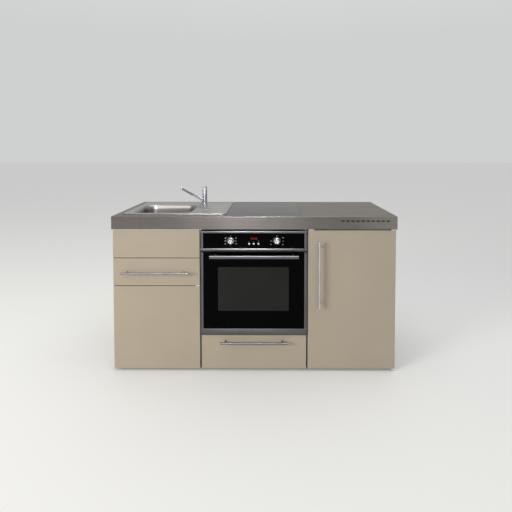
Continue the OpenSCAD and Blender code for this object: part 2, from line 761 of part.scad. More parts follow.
module tap_shank() {
    nut_h = 14;
    color(zinc_colour) seat() translate([tap_x, tap_y, 0]) {
        difference() {
            union() {
                rod_z(0, 0, [shank_z0, plate_z], shank_dia / 2);
                rod_z(0, 0, [unit_h - nut_h, unit_h], shank_dia / 2 + 6);
            }
            for (s = [-1, 1]) rod_z(s * supply_x, 0, [shank_z0 - 1, shank_z0 + supply_in], supply_dia / 2);
        }
        supply_pipe();
        mirror([1, 0, 0]) supply_pipe();
    }
}

// A supply pipe out of the shank, bent out to one side, down again and back towards the wall
module supply_pipe() {
    r = supply_dia / 2;
    bend_z = shank_z0 - supply_drop;
    rod_z(supply_x, 0, [bend_z, shank_z0 + supply_in], r);
    translate([supply_x, 0, bend_z]) sphere(r + 0.4);
    translate([supply_x, 0, bend_z]) rotate([0, 135, 0]) cylinder(r = r, h = (supply_spread - supply_x) * sqrt(2));
    translate([supply_spread, 0, supply_z1]) sphere(r + 0.4);
    rod_z(supply_spread, 0, [outlet_z, supply_z1], r);
    translate([supply_spread, 0, outlet_z]) sphere(r + 0.4);
    rod_y(supply_spread, [0, pipes_y1 - tap_y], outlet_z, r);
    rod_y(supply_spread, supply_nut, outlet_z, r + 2.5);
}

module tap_spout() {
    r = spout_dia / 2;
    corner_z = ring_h / 2 + spout_reach * tan(spout_angle);
    outlet_r = r - 0.5;
    color(chrome_colour) seat() translate([tap_x, tap_y, ring_z]) rotate([0, 0, spout_turn]) difference() {
        union() {
            cylinder(r = tap_dia / 2, h = ring_h);
            translate([0, 0, ring_h / 2]) rotate([0, 90 - spout_angle, 0])
                cylinder(r = r, h = spout_reach / cos(spout_angle));
            translate([spout_reach, 0, corner_z]) sphere(r + 0.2);
            translate([spout_reach, 0, corner_z - spout_tip]) cylinder(r = outlet_r, h = spout_tip);
        }
        translate([0, 0, -1]) cylinder(r = neck_r + fit_clear, h = ring_h + 2);
        translate([spout_reach, 0, corner_z - spout_tip - 1]) cylinder(r = outlet_r - 2, h = 8);
        translate([0, 0, ring_h]) cylinder(r = tap_dia / 2 + seat_clear, h = 2 * ring_h);
    }
}

// The cap turns on the body and carries the lever's hinge at its back
module tap_cap() {
    ear_r = barrel_r - 0.5;
    color(chrome_colour) seat() translate([tap_x, tap_y, 0]) {
        rod_z(0, 0, [cap_z, lever_z - seat_clear], tap_dia / 2);
        for (s = [-1, 1]) {
            ear = [s * lever_ear_x - lever_ear_w / 2, s * lever_ear_x + lever_ear_w / 2];
            rod_x(ear, lever_axis_y, lever_axis_z, ear_r);
            block(ear, [lever_axis_y - ear_r, lever_axis_y + ear_r], [lever_z - 2, lever_axis_z]);
        }
        rod_x([-lever_ear_x - 1, lever_ear_x + 1], lever_axis_y, lever_axis_z, lever_pin_r);
    }
}

// The lever plate lies on the cap and lifts about the pin at its back
module tap_lever() {
    z = [lever_z, lever_z + lever_t];
    plate_z0 = lever_z + 1.5;
    end_y = -lever_len + lever_w / 2;
    barrel_x = lever_ear_x + lever_ear_w / 2 + 0.5;
    notch = lever_ear_w / 2 + 0.5;
    color(chrome_colour) seat() translate([tap_x, tap_y, 0]) difference() {
        union() {
            intersection() {
                rod_z(0, 0, z, tap_dia / 2);
                block([-tap_dia, tap_dia], [-tap_dia, lever_axis_y], z);
            }
            rod_x([-barrel_x, barrel_x], lever_axis_y, lever_axis_z, barrel_r);
            block([-lever_w / 2, lever_w / 2], [end_y, 0], [plate_z0, z[1]]);
            rod_z(0, end_y, [plate_z0, z[1]], lever_w / 2);
        }
        rod_x([-barrel_x - 1, barrel_x + 1], lever_axis_y, lever_axis_z, lever_pin_r + fit_clear);
        for (s = [-1, 1]) block([s * lever_ear_x - notch, s * lever_ear_x + notch],
            [lever_axis_y - barrel_r - 2, tap_dia], [z[0] - 1, z[1] + 1]);
    }
}

module sink_strainer() {
    basket_r = basket_dia / 2 - 3;
    basket_z0 = flange_z - cup_h / 2;
    wall = 1.5;
    color(chrome_colour) seat() translate([bowl_cx, bowl_cy, 0]) {
        difference() {
            union() {
                rod_z(0, 0, [flange_z + seat_clear, flange_z + 2], waste_flange_dia / 2 - 4);
                rod_z(0, 0, [basket_z0, flange_z + 2], basket_r);
            }
            rod_z(0, 0, [basket_z0 + wall, flange_z + 3], basket_r - wall);
            for (a = [0 : 45 : 315]) rotate([0, 0, a])
                rod_z(basket_r / 2, 0, [basket_z0 - 1, basket_z0 + 3], 3);
        }
        rod_z(0, 0, [basket_z0, flange_z + 8], 3);
        rod_z(0, 0, [flange_z + 8, flange_z + 12], 8);
    }
}

module hob_glass() {
    color(black_glass) seat() round_plate([hob_x - hob_w / 2, hob_x + hob_w / 2],
        [hob_front, hob_front + hob_d], [unit_h - hob_t, unit_h], hob_r);
}

module hob_case() {
    half = hob_w / 2 + hob_gap;
    y = [hob_front - hob_gap, hob_front + hob_d + hob_gap];
    z1 = unit_h - hob_t;
    tray_x = [hob_x - hob_w / 2 + hob_lip, hob_x + hob_w / 2 - hob_lip];
    tray_y = [hob_front + hob_lip, hob_front + hob_d - hob_lip];
    wall = 1.5;
    color(zinc_colour) seat() difference() {
        union() {
            block([hob_x - half - hob_rim, hob_x + half + hob_rim], [y[0] - hob_rim, y[1] + hob_rim],
                [z1 - wall, deck_z]);
            block(tray_x, tray_y, [z1 - hob_case_h, z1]);
        }
        block([hob_x - half, hob_x + half], y, [z1, unit_h]);
        block([tray_x[0] + wall, tray_x[1] - wall], [tray_y[0] + wall, tray_y[1] - wall],
            [z1 - hob_case_h + wall, unit_h]);
    }
}

// ---- carcass ----

module side_panels() {
    color(board_colour) seat() for (x = [board_x0, board_x1 - board_t])
        block([x, x + board_t], [carcass_y0, carcass_y1], [foot_h, deck_z]);
}

module dividers() {
    color(board_colour) seat() for (x = [sink_bay_x, oven_bay_x - board_t])
        block([x, x + board_t], [carcass_y0, carcass_y1], [foot_h, deck_z]);
}

module cross_rails() {
    color(board_colour) seat() {
        for (room = [sink_room, oven_room]) {
            block(room, [carcass_y0, carcass_y0 + board_t], [deck_z - rail_h, deck_z]);
            block(room, [carcass_y1 - back_t - board_t, carcass_y1 - back_t], [deck_z - rail_h, deck_z]);
        }
        block(fridge_room, [carcass_y1 - board_t, carcass_y1], [deck_z - rail_h, deck_z]);
        block(sink_room, [carcass_y0, carcass_y0 + mid_rail_d], [mid_rail_z0, mid_rail_z0 + board_t]);
        block(left_front, [front_y0 + 2, carcass_y0], [fronts_top, band_z - 0.5]);
    }
}

module cabinet_floors() {
    y = [carcass_y0, carcass_y1 - back_t];
    color(board_colour) seat() {
        block(sink_room, y, [foot_h, floor_z]);
        block(oven_room, y, [foot_h, floor_z]);
        block(oven_room, y, [shelf_z0, shelf_z1]);
    }
}

module back_panels() {
    y = [carcass_y1 - back_t, carcass_y1];
    color(board_colour) seat() {
        difference() {
            block(sink_room, y, [foot_h, deck_z]);
            block(service_x, [y[0] - 1, y[1] + 1], [outlet_z - service_h / 2, outlet_z + service_h / 2]);
        }
        block(oven_room, y, [foot_h, deck_z]);
    }
}

module sink_fascia() {
    block_w = fascia_block_w;
    block_z = [fascia_z0 + fascia_block_w * 2, fascia_z0 + fascia_block_w * 4];
    color(front_colour) seat() {
        front_board(left_front, [fascia_z0, fronts_top]);
        for (x = [sink_room[0], sink_room[1] - block_w])
            block([x, x + block_w], [front_y1, carcass_y0 + fascia_block_d], block_z);
    }
}

module feet() {
    r = foot_dia / 2;
    under_boards = [board_x0 + r, sink_bay_x + board_t / 2, oven_bay_x - board_t / 2, board_x1 - r];
    under_fridge = [fridge_x0 + foot_inset, fridge_x1 - foot_inset];
    color("dimgray") seat() {
        for (x = under_boards, y = [carcass_y0 + foot_inset, carcass_y1 - foot_inset])
            rod_z(x, y, [0, foot_h], r);
        for (x = under_fridge, y = [fridge_y0 + foot_inset, fridge_y1 - foot_inset])
            rod_z(x, y, [0, fridge_foot_h], r);
    }
}

module drawer_rails() {
    color(zinc_colour) seat() {
        fixed_runners(sink_room, runner_z);
        fixed_runners(oven_room, low_runner_z);
    }
}

// Plates with pins, two for the cupboard door and two for the fridge door
module hinge_brackets() {
    color(zinc_colour) seat() {
        upper_bracket(cupboard_axis_x, cupboard_z1);
        lower_bracket(cupboard_axis_x);
        upper_bracket(fridge_axis_x, fronts_top);
        lower_bracket(fridge_axis_x);
    }
}

// A plate over a door's upper edge at z, bent up against the carcass front
module upper_bracket(x, z) {
    z0 = z + plate_gap;
    wide = [x - bracket_reach, x + pin_inset];
    block(wide, [front_y0 + 1, carcass_y0], [z0, z0 + plate_t]);
    block(wide, [carcass_y0 - plate_t, carcass_y0], [z0, z0 + bracket_h]);
    rod_z(x, hinge_y, [z - pin_len, z0 + plate_t], pin_r);
}

// A plate under a door's lower edge, packed up to the underside of the carcass
module lower_bracket(x) {
    z1 = front_bottom - plate_gap;
    wide = [x - bracket_reach, x + pin_inset];
    block(wide, [front_y0 + 1, carcass_y0 + bracket_d], [z1 - plate_t, z1]);
    block(wide, [carcass_y0, carcass_y0 + bracket_d], [z1 - plate_t, foot_h]);
    rod_z(x, hinge_y, [z1 - plate_t, front_bottom + pin_len], pin_r);
}

module cupboard_door() {
    color(front_colour) seat() difference() {
        front_board(left_front, [front_bottom, cupboard_z1]);
        hinge_bores(cupboard_axis_x, [front_bottom, cupboard_z1]);
    }
}

// Blind holes for the pins at both ends of a door
module hinge_bores(x, z) {
    rod_z(x, hinge_y, [z[0] - 1, z[0] + pin_len + 1], pin_r + fit_clear);
    rod_z(x, hinge_y, [z[1] - pin_len - 1, z[1] + 1], pin_r + fit_clear);
}

// ---- drawers ----

module drawer_front() {
    color(front_colour) seat() front_board(left_front, [drawer_z0, drawer_z1]);
}

module drawer_box() {
    x = [sink_room[0] + runner_w, sink_room[1] - runner_w];
    color(zinc_colour) seat() sheet_drawer(x, drawer_z0 + 14, drawer_box_h, runner_z);
}

module drawer_handle() {
    middle = (left_front[0] + left_front[1]) / 2 - 4;
    color(chrome_colour) seat() translate([middle, front_y0, drawer_z0 + drawer_handle_z]) bar_handle();
}

module low_drawer_front() {
    x = [oven_x - low_front_w / 2, oven_x + low_front_w / 2];
    color(front_colour) seat() front_board(x, [front_bottom, low_front_z1]);
}

module low_drawer_box() {
    x = [oven_room[0] + runner_w, oven_room[1] - runner_w];
    color(zinc_colour) seat() sheet_drawer(x, floor_z + 4, low_box_h, low_runner_z);
}

module low_drawer_handle() {
    color(chrome_colour) seat() translate([oven_x, front_y0, front_bottom + low_handle_z]) bar_handle();
}

// ---- oven ----

module oven_case() {
    t = oven_sheet;
    x = [oven_x - oven_case_w / 2, oven_x + oven_case_w / 2];
    y = [carcass_y0, carcass_y0 + oven_case_d];
    z = [shelf_z1, oven_top - 8];
    flange_x = [oven_x - oven_w / 2 + 2, oven_x + oven_w / 2 - 2];
    mouth_x = [oven_x - oven_mouth_w / 2, oven_x + oven_mouth_w / 2];
    mouth_z = [inner_z0 - 6, inner_z1 + 6];
    deck = oven_case_deck;
    color(zinc_colour) seat() {
        difference() {
            union() {
                block(x, y, z);
                block(flange_x, [flange_y0, carcass_y0], [shelf_z1 + 1, oven_top]);
            }
            block([x[0] + t, x[1] - t], [y[0], y[1] - t], [z[0] + t, deck]);
            block([x[0] + t, x[1] - t], [y[0] + t, y[1] - t], [deck + t, z[1] - t]);
            block(mouth_x, [flange_y0 - 1, y[0] + t + 1], mouth_z);
        }
        ring_y([mouth_x[0] - t, mouth_x[1] + t], [carcass_y0, cavity_y0],
            [mouth_z[0] - t, mouth_z[1] + t], t, t);
        for (s = [-1, 1]) hinge_lug(oven_x + s * lug_x);
    }
}

// A lug with its pin, on which one lower corner of the oven door turns
module hinge_lug(x) {
    axis_z = oven_door_z0 + oven_axis_z;
    lug_r = oven_pin_r + 2.5;
    half = lug_w / 2;
    rod_x([x - half, x + half], oven_axis_y, axis_z, lug_r);
    block([x - half, x + half], [oven_axis_y, flange_y0], [axis_z - lug_r, axis_z + lug_r]);
    rod_x([x - lug_w * 1.5, x + lug_w * 1.5], oven_axis_y, axis_z, oven_pin_r);
}

module oven_cavity() {
    t = oven_sheet;
    x = cavity_x;
    z = [cavity_z0, cavity_z0 + cavity_h];
    flange_half = oven_case_w / 2 - t;
    color(enamel_colour) seat() {
        difference() {
            union() {
                block([x[0] - t, x[1] + t], [cavity_y0, cavity_y1 + t], [z[0] - t, z[1] + t]);
                block([oven_x - flange_half, oven_x + flange_half], [cavity_y0, cavity_y0 + t],
                    [shelf_z1 + t, oven_case_deck]);
            }
            block(x, [cavity_y0 - 1, cavity_y1], z);
            rod_y(oven_x, [cavity_y1 - 1, cavity_y1 + t + 1], fan_z, fan_shaft_r + 1);
        }
        for (i = [1 : ledge_count]) for (side = [[x[0], x[0] + ledge_w], [x[1] - ledge_w, x[1]]])
            block(side, [cavity_y0 + 20, cavity_y1 - 40], [ledge_z(i) - 5, ledge_z(i)]);
    }
}
function ledge_z(i) = cavity_z0 + i * cavity_h / (ledge_count + 1);

module oven_rack() {
    frame_r = 3;
    bar_r = 2;
    bars = 9;
    x = [cavity_x[0] + 1 + frame_r, cavity_x[1] - 1 - frame_r];
    y = [cavity_y0 + 27, cavity_y1 - 47];
    z = ledge_z(rack_ledge) + frame_r;
    color(chrome_colour) seat() {
        for (side = x) rod_y(side, [y[0] - frame_r, y[1] + frame_r], z, frame_r);
        for (end = y) rod_x(x, end, z, frame_r);
        for (i = [1 : bars]) rod_y(x[0] + i * (x[1] - x[0]) / (bars + 1), y, z, bar_r);
    }
}

module baking_tray() {
    t = 1.5;
    depth = 30;
    rim = ledge_w + 3;
    x = [cavity_x[0] + 1, cavity_x[1] - 1];
    y = [cavity_y0 + 26, cavity_y1 - 46];
    z1 = ledge_z(1) + t;
    color(enamel_colour) seat() difference() {
        union() {
            block(x, y, [z1 - t, z1]);
            block([x[0] + rim, x[1] - rim], [y[0] + rim, y[1] - rim], [z1 - depth, z1]);
        }
        block([x[0] + rim + t, x[1] - rim - t], [y[0] + rim + t, y[1] - rim - t], [z1 - depth + t, z1 + 1]);
    }
}

// A tube bent to and fro under the cavity's ceiling, held by its ends in the back wall
module grill_element() {
    r = grill_r;
    legs = 4;
    pitch = grill_pitch;
    z = cavity_z0 + cavity_h - grill_drop;
    y = [cavity_y0 + grill_inset + pitch / 2, cavity_y1 - grill_inset - pitch / 2];
    first_x = oven_x - pitch * (legs - 1) / 2;
    color("gray") seat() {
        for (i = [0 : legs - 1]) {
            outer = i == 0 || i == legs - 1;
            rod_y(first_x + i * pitch, [y[0], outer ? cavity_y1 : y[1]], z, r);
        }
        for (i = [0 : legs - 2]) {
            front = i % 2 == 0;
            translate([first_x + (i + 0.5) * pitch, front ? y[0] : y[1], z]) rotate([0, 0, front ? 180 : 0])
                rotate_extrude(angle = 180) translate([pitch / 2, 0]) circle(r);
        }
        for (x = [first_x, first_x + (legs - 1) * pitch])
            block([x - 8, x + 8], [cavity_y1 - 3, cavity_y1], [z - 8, z + 8]);
    }
}

module fan_cover() {
    t = 1.5;
    half = fan_dia / 2 + 20;
    inner = half - t;
    y0 = cavity_y1 - fan_cover_d;
    color(enamel_colour) seat() difference() {
        block([oven_x - half, oven_x + half], [y0, cavity_y1], [fan_z - half, fan_z + half]);
        block([oven_x - inner, oven_x + inner], [y0 + t, cavity_y1 + 1], [fan_z - inner, fan_z + inner]);
        for (a = [0 : 30 : 330]) rotate_at(oven_x, fan_z, a) rod_y(fan_dia / 4, [y0 - 1, y0 + 3], 0, 5);
    }
}

// Turns a piece about an axis along Y through a point
module rotate_at(x, z, a) {
    translate([x, 0, z]) rotate([0, a, 0]) children();
}

module convection_fan() {
    r = fan_dia / 2;
    disc_y = [cavity_y1 - fan_depth, cavity_y1 - fan_depth + fan_disc_t];
    color("silver") seat() {
        rod_y(oven_x, disc_y, fan_z, r);
        rod_y(oven_x, [disc_y[0], cavity_y1 + fan_shaft_back], fan_z, fan_shaft_r);
        for (i = [0 : fan_blades - 1]) rotate_at(oven_x, fan_z, i * 360 / fan_blades)
            block([r * 0.45, r * 0.95], [disc_y[0] + 1, cavity_y1 - 4], [-0.75, 0.75]);
    }
}

module fan_motor() {
    color(zinc_colour) seat() difference() {
        rod_y(oven_x, [cavity_y1 + oven_sheet, cavity_y1 + 50], fan_z, 38);
        rod_y(oven_x, [cavity_y1, cavity_y1 + 26], fan_z, fan_shaft_r + fit_clear);
    }
}

module oven_door_seal() {
    seal_w = 8;
    reach = 12;
    color("darkslategray") seat() ring_y([cavity_x[0] - reach, cavity_x[1] + reach],
        [oven_door_t + oven_inner_t + seat_clear, cavity_y0],
        [cavity_z0 - reach, cavity_z0 + cavity_h + reach], seal_w, seal_w);
}

module control_frame() {
    wall = 2;
    x = [oven_x - oven_w / 2, oven_x + oven_w / 2];
    z = [control_z0, oven_top];
    color(steel_colour) seat() difference() {
        block(x, [0, flange_y0], z);
        block([x[0] + oven_bar_w, x[1] - oven_bar_w], [-1, glass_t],
            [z[0] + control_low_bar, z[1] - control_top_bar]);
        block([x[0] + wall, x[1] - wall], [glass_t + 3, flange_y0 + 1], [z[0] + wall, z[1] - wall]);
        control_holes();
    }
}

// The holes for the knobs' shafts and the buttons' stems
module control_holes() {
    y = [-1, glass_t + 4];
    for (s = [-1, 1]) rod_y(oven_x + s * knob_x, y, control_z0 + knob_z, knob_shaft_r + fit_clear);
    for (i = [-1 : 1]) rod_y(oven_x + i * button_pitch, y, control_z0 + button_z, button_stem_r + fit_clear);
}

module control_glass() {
    x = [oven_x - oven_w / 2 + oven_bar_w, oven_x + oven_w / 2 - oven_bar_w];
    color(black_glass) seat() difference() {
        block(x, [0, glass_t], [control_z0 + control_low_bar, oven_top - control_top_bar]);
        control_holes();
    }
}

// A knob: a round grip with a pointer rib and a shaft through the glass
module knob(x) {
    r = knob_dia / 2;
    skirt = 6;
    color(chrome_colour) seat() translate([x, 0, control_z0 + knob_z]) {
        rod_y(0, [-skirt, -seat_clear], 0, r);
        rod_y(0, [-knob_len, -skirt], 0, r - 3);
        block([-2.5, 2.5], [-knob_len - 3, -knob_len + 1], [5 - r, r - 4]);
        rod_y(0, [-skirt, glass_t + 8], 0, knob_shaft_r);
    }
}

module function_knob() { knob(oven_x - knob_x); }
module temperature_knob() { knob(oven_x + knob_x); }

module button(i) {
    face_y = -button_travel - 2;
    color(chrome_colour) seat() translate([oven_x + i * button_pitch, 0, control_z0 + button_z]) {
        rod_y(0, [face_y, -button_travel - seat_clear], 0, button_dia / 2);
        rod_y(0, [face_y, glass_t + 6], 0, button_stem_r);
    }
}

module button_left() { button(-1); }
module button_middle() { button(0); }
module button_right() { button(1); }

module oven_door_frame() {
    x = [oven_x - oven_w / 2, oven_x + oven_w / 2];
    z = [oven_door_z0, oven_door_z1];
    inner_x = [oven_x - oven_inner_w / 2, oven_x + oven_inner_w / 2];
    inner_y1 = oven_door_t + oven_inner_t;
    rim = inner_glass_rim;
    color(steel_colour) seat() difference() {
        union() {
            difference() {
                block(x, [0, oven_door_t], z);
                block([x[0] + oven_bar_w, x[1] - oven_bar_w], [-1, glass_t], [z[0] + oven_low_bar, z[1] + 1]);
                block([x[0] + 30, x[1] - 30], [glass_t - 1, oven_door_t + 1],
                    [z[0] + oven_low_bar + 6, z[1] - 20]);
            }
            ring_y(inner_x, [oven_door_t, inner_y1], [inner_z0, inner_z1], 14, 14);
        }
        block([inner_x[0] + rim, inner_x[1] - rim], [inner_y1 - inner_glass_t, inner_y1 + 1],
            [inner_z0 + rim, inner_z1 - rim]);
        for (s = [-1, 1]) lug_notch(oven_x + s * lug_x);
    }
}

// The notch in which a hinge lug sits, and the bore for its pin
module lug_notch(x) {
    axis_z = oven_door_z0 + oven_axis_z;
    clear_r = oven_pin_r + 3;
    wide = [x - lug_w / 2 - 0.5, x + lug_w / 2 + 0.5];
    rod_x(wide, oven_axis_y, axis_z, clear_r);
    block(wide, [oven_axis_y - clear_r, oven_door_t + 1], [oven_door_z0 - 1, axis_z]);
    block(wide, [oven_axis_y, oven_door_t + 1], [oven_door_z0 - 1, axis_z + clear_r]);
    rod_x([x - lug_w * 1.5 - 0.5, x + lug_w * 1.5 + 0.5], oven_axis_y, axis_z, oven_pin_r + fit_clear);
}

module oven_door_glass() {
    half = oven_w / 2 - oven_bar_w;
    color(black_glass) seat() block([oven_x - half, oven_x + half], [0, glass_t],
        [oven_door_z0 + oven_low_bar, oven_door_z1]);
}

module oven_inner_glass() {
    half = oven_inner_w / 2 - inner_glass_rim;
    y1 = oven_door_t + oven_inner_t;
    color(black_glass) seat() block([oven_x - half, oven_x + half], [y1 - inner_glass_t, y1],
        [inner_z0 + inner_glass_rim, inner_z1 - inner_glass_rim]);
}

module oven_door_handle() {
    half = oven_handle_len / 2;
    r = oven_handle_t / 2 - 0.5;
    y = [-handle_reach, -handle_reach + oven_handle_t];
    post_r = 6;
    color(steel_colour) seat() translate([oven_x + oven_handle_x, 0, oven_door_z1 - oven_handle_drop]) {
        translate([-half, 0, 0]) rotate([90, 0, 90]) linear_extrude(oven_handle_len)
            round_rect(y, [-oven_handle_h / 2, oven_handle_h / 2], r);
        for (s = [-1, 1]) rod_y(s * (half - 30), [y[1] - oven_handle_t / 2, 0], 0, post_r);
    }
}

// ---- fridge ----

module fridge_case() {
    x = [fridge_x0, fridge_x1];
    y = [fridge_y0, fridge_y1];
    z = [fridge_foot_h, fridge_z1];
    color(white_colour) seat() difference() {
        block(x, y, z);
        difference() {
            block([x[0] + skin_t, x[1] - skin_t], [y[0] - 1, y[1] - skin_t], [z[0] + skin_t, z[1] - skin_t]);
            block(x, [y[1] - step_d - skin_t, y[1]], [z[0], step_top + skin_t]);
        }
        block([x[0] + skin_t, x[1] - skin_t], [y[1] - step_d, y[1] + 1], [z[0] - 1, step_top]);
    }
}

module fridge_foam() {
    x = [fridge_x0 + skin_t, fridge_x1 - skin_t];
    y = [fridge_y0 + liner_t, fridge_y1 - skin_t];
    z = [fridge_foot_h + skin_t, fridge_z1 - skin_t];
    color("khaki") seat() difference() {
        block(x, y, z);
        liner_space(y[0] - 1, 0);
        block([x[0] - 1, x[1] + 1], [fridge_y1 - step_d - skin_t, y[1] + 1], [z[0] - 1, step_top + skin_t]);
    }
}

// The space inside the insulation, grown or shrunk on every side
module liner_space(y0, shrink) {
    step_z = step_top + skin_t + foam_t;
    step_y = fridge_y1 - step_d - skin_t - foam_t;
    difference() {
        block([liner_x0 + shrink, liner_x1 - shrink], [y0, liner_y1 - shrink],
            [liner_z0 + shrink, liner_z1 - shrink]);
        block([liner_x0 - 1, liner_x1 + 1], [step_y - shrink, liner_y1 + 1], [liner_z0 - 1, step_z + shrink]);
    }
}

module fridge_liner() {
    x = [fridge_x0 + skin_t, fridge_x1 - skin_t];
    z = [fridge_foot_h + skin_t, fridge_z1 - skin_t];
    color(white_colour) seat() {
        difference() {
            union() {
                block(x, [fridge_y0, fridge_y0 + liner_t], z);
                liner_space(fridge_y0, 0);
            }
            liner_space(fridge_y0 - 1, liner_t);
        }
        difference() {
            block([dial_x, dial_x + dial_box_w], [dial_y - 40, dial_y + 60], [dial_z - 24, dial_z + 24]);
            rod_x([dial_x - 1, dial_x + 24], dial_y, dial_z, dial_shaft_r + fit_clear);
        }
    }
}
module thermostat_dial() {
    color("whitesmoke") seat() {
        rod_x([dial_x - 12, dial_x - seat_clear], dial_y, dial_z, dial_dia / 2);
        rod_x([dial_x - 12, dial_x + 16], dial_y, dial_z, dial_shaft_r);
    }
}

module freezer_box() {
    t = 2;
    x = [liner_x0 + liner_t, liner_x1 - liner_t];
    y = [fittings_y0, liner_y1 - liner_t];
    z = [liner_z1 - liner_t - freezer_h, liner_z1 - liner_t];
    color("lightsteelblue") seat() difference() {
        block(x, y, z);
        block([x[0] + t, x[1] - t], [y[0] - 1, y[1] - t], [z[0] + t, z[1] - t]);
    }
}

module fridge_shelves() {
    x = [liner_x0 + liner_t, liner_x1 - liner_t];
    color([0.75, 0.85, 0.82]) seat() for (level = shelf_levels)
        block(x, [fittings_y0, liner_y1 - liner_t], [liner_z0 + level, liner_z0 + level + shelf_t]);
}

module crisper() {
    t = crisper_t;
    x = [liner_x0 + liner_t + crisper_side_gap, liner_x1 - liner_t - crisper_side_gap];
    y = [fittings_y0, fridge_y1 - step_d - skin_t - foam_t - liner_t - crisper_back_gap];
    z = [liner_z0 + liner_t, liner_z0 + crisper_top];
    color("aliceblue") seat() difference() {
        block(x, y, z);
        block([x[0] + t, x[1] - t], [y[0] + t, y[1] - t], [z[0] + t, z[1] + 1]);
    }
}

// Compressor on its plate, with the condenser's tubes on the back of the case
module cooling_circuit() {
    compressor_x = (fridge_x0 + fridge_x1) / 2 + 60;
    compressor_r = 62;
    compressor_h = 110;
    plate_y = [fridge_y1 - step_d + 4, fridge_y1 - 4];
    compressor_y = (plate_y[0] + plate_y[1]) / 2;
    tube_r = 2.5;
    tube_x = [fridge_x0 + 60, fridge_x1 - 60];
    tube_y = fridge_y1 + 14;
    tube_z = [step_top + 40, fridge_z1 - 60];
    rows = 12;
    pitch = (tube_z[1] - tube_z[0]) / (rows - 1);
    color([0.12, 0.12, 0.12]) seat() {
        block([fridge_x0 + skin_t, fridge_x1 - skin_t], plate_y, [fridge_foot_h, fridge_foot_h + 2]);
        translate([compressor_x, compressor_y, fridge_foot_h]) {
            cylinder(r = compressor_r, h = compressor_h);
            translate([0, 0, compressor_h]) scale(0.999) intersection() {
                sphere(compressor_r);
                translate([-compressor_r, -compressor_r, 0]) cube([2 * compressor_r, 2 * compressor_r, 30]);
            }
        }
        for (i = [0 : rows - 1]) rod_x(tube_x, tube_y, tube_z[0] + i * pitch, tube_r);
        for (x = tube_x) {
            rod_z(x, tube_y, tube_z, tube_r);
            for (z = [tube_z[0] + pitch / 2, tube_z[1] - pitch / 2]) rod_y(x, [fridge_y1, tube_y], z, 4);
        }
        rod_z(compressor_x, tube_y, [fridge_foot_h + 60, tube_z[0]], tube_r);
        rod_y(compressor_x, [compressor_y + compressor_r / 2, tube_y + 2], fridge_foot_h + 62, tube_r + 0.5);
    }
}

module fridge_door_panel() {
    color(front_colour) seat() difference() {
        front_board(fridge_door, [front_bottom, fronts_top]);
        hinge_bores(fridge_axis_x, [front_bottom, fronts_top]);
    }
}

// The door's white inner part, with a raised edge and two racks inside it
module fridge_door_liner() {
    x = [fridge_x0 + 6, fridge_x1 - 6];
    z = [fridge_foot_h + 4, fridge_z1 - 4];
    wall = 3;
    rack_x = [liner_x0 + rack_inset, liner_x1 - rack_inset];
    rack_y = [door_liner_y1, door_liner_y1 + rack_d];
    color(white_colour) seat() {
        difference() {
            block(x, [front_y1, door_liner_y1], z);
            block([x[0] + wall, x[1] - wall], [front_y1 - 1, door_liner_y1 - wall], [z[0] + wall, z[1] - wall]);
        }
        for (rack = racks) translate([0, 0, liner_z0 + rack[0]]) difference() {
            block(rack_x, rack_y, [0, rack[1]]);
            block([rack_x[0] + rack_wall, rack_x[1] - rack_wall],
                [rack_y[0] + rack_wall, rack_y[1] - rack_wall], [rack_wall, rack[1] + 1]);
        }
    }
}

module fridge_door_seal() {
    seal_w = 12;
    x = [fridge_x0 + 8, fridge_x1 - 8];
    z = [fridge_foot_h + 6, fridge_z1 - 6];
    color("gainsboro") seat() ring_y(x, [door_liner_y1, fridge_y0 - seat_clear], z, seal_w, seal_w);
}

module fridge_door_handle() {
    color(chrome_colour) seat() translate([fridge_door[0] + fridge_handle_x, front_y0, fridge_handle_z])
        rotate([0, 90, 0]) bar_handle();
}

worktop();
sink();
sink_waste();
sink_trap();
tap_body();
tap_shank();
hob_glass();
hob_case();
side_panels();
dividers();
cross_rails();
cabinet_floors();
back_panels();
sink_fascia();
feet();
drawer_rails();
hinge_brackets();
oven_case();
oven_cavity();
control_frame();
control_glass();
oven_rack();
baking_tray();
grill_element();
fan_cover();
fan_motor();
oven_door_seal();
fridge_case();
fridge_foam();
fridge_liner();
freezer_box();
fridge_shelves();
crisper();
cooling_circuit();
drawer_front();
drawer_box();
drawer_handle();
cupboard_door();
oven_door_frame();
oven_door_glass();
oven_inner_glass();
oven_door_handle();
low_drawer_front();
low_drawer_box();
low_drawer_handle();
fridge_door_panel();
fridge_door_liner();
fridge_door_seal();
fridge_door_handle();
function_knob();
temperature_knob();
button_left();
button_middle();
button_right();
tap_spout();
tap_cap();
tap_lever();
convection_fan();
thermostat_dial();
sink_strainer();
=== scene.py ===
import math

import bmesh
import bpy
from mathutils import Matrix, Vector


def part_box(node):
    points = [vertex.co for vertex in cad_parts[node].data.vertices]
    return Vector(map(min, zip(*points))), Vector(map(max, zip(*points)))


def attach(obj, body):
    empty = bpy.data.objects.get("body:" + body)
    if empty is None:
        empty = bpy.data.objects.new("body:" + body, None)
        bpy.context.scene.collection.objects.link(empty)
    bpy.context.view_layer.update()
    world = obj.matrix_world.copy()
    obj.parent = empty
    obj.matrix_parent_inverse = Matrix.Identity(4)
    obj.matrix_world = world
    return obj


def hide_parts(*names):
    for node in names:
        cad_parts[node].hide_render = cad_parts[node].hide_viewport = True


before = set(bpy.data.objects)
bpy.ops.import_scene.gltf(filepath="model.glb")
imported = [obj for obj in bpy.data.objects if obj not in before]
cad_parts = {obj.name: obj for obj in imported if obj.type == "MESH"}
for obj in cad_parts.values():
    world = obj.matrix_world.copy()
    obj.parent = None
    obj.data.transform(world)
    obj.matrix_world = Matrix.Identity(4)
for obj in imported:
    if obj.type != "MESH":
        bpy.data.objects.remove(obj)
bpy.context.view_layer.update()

print("frame loaded:", len(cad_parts), "nodes")

mm = 0.001


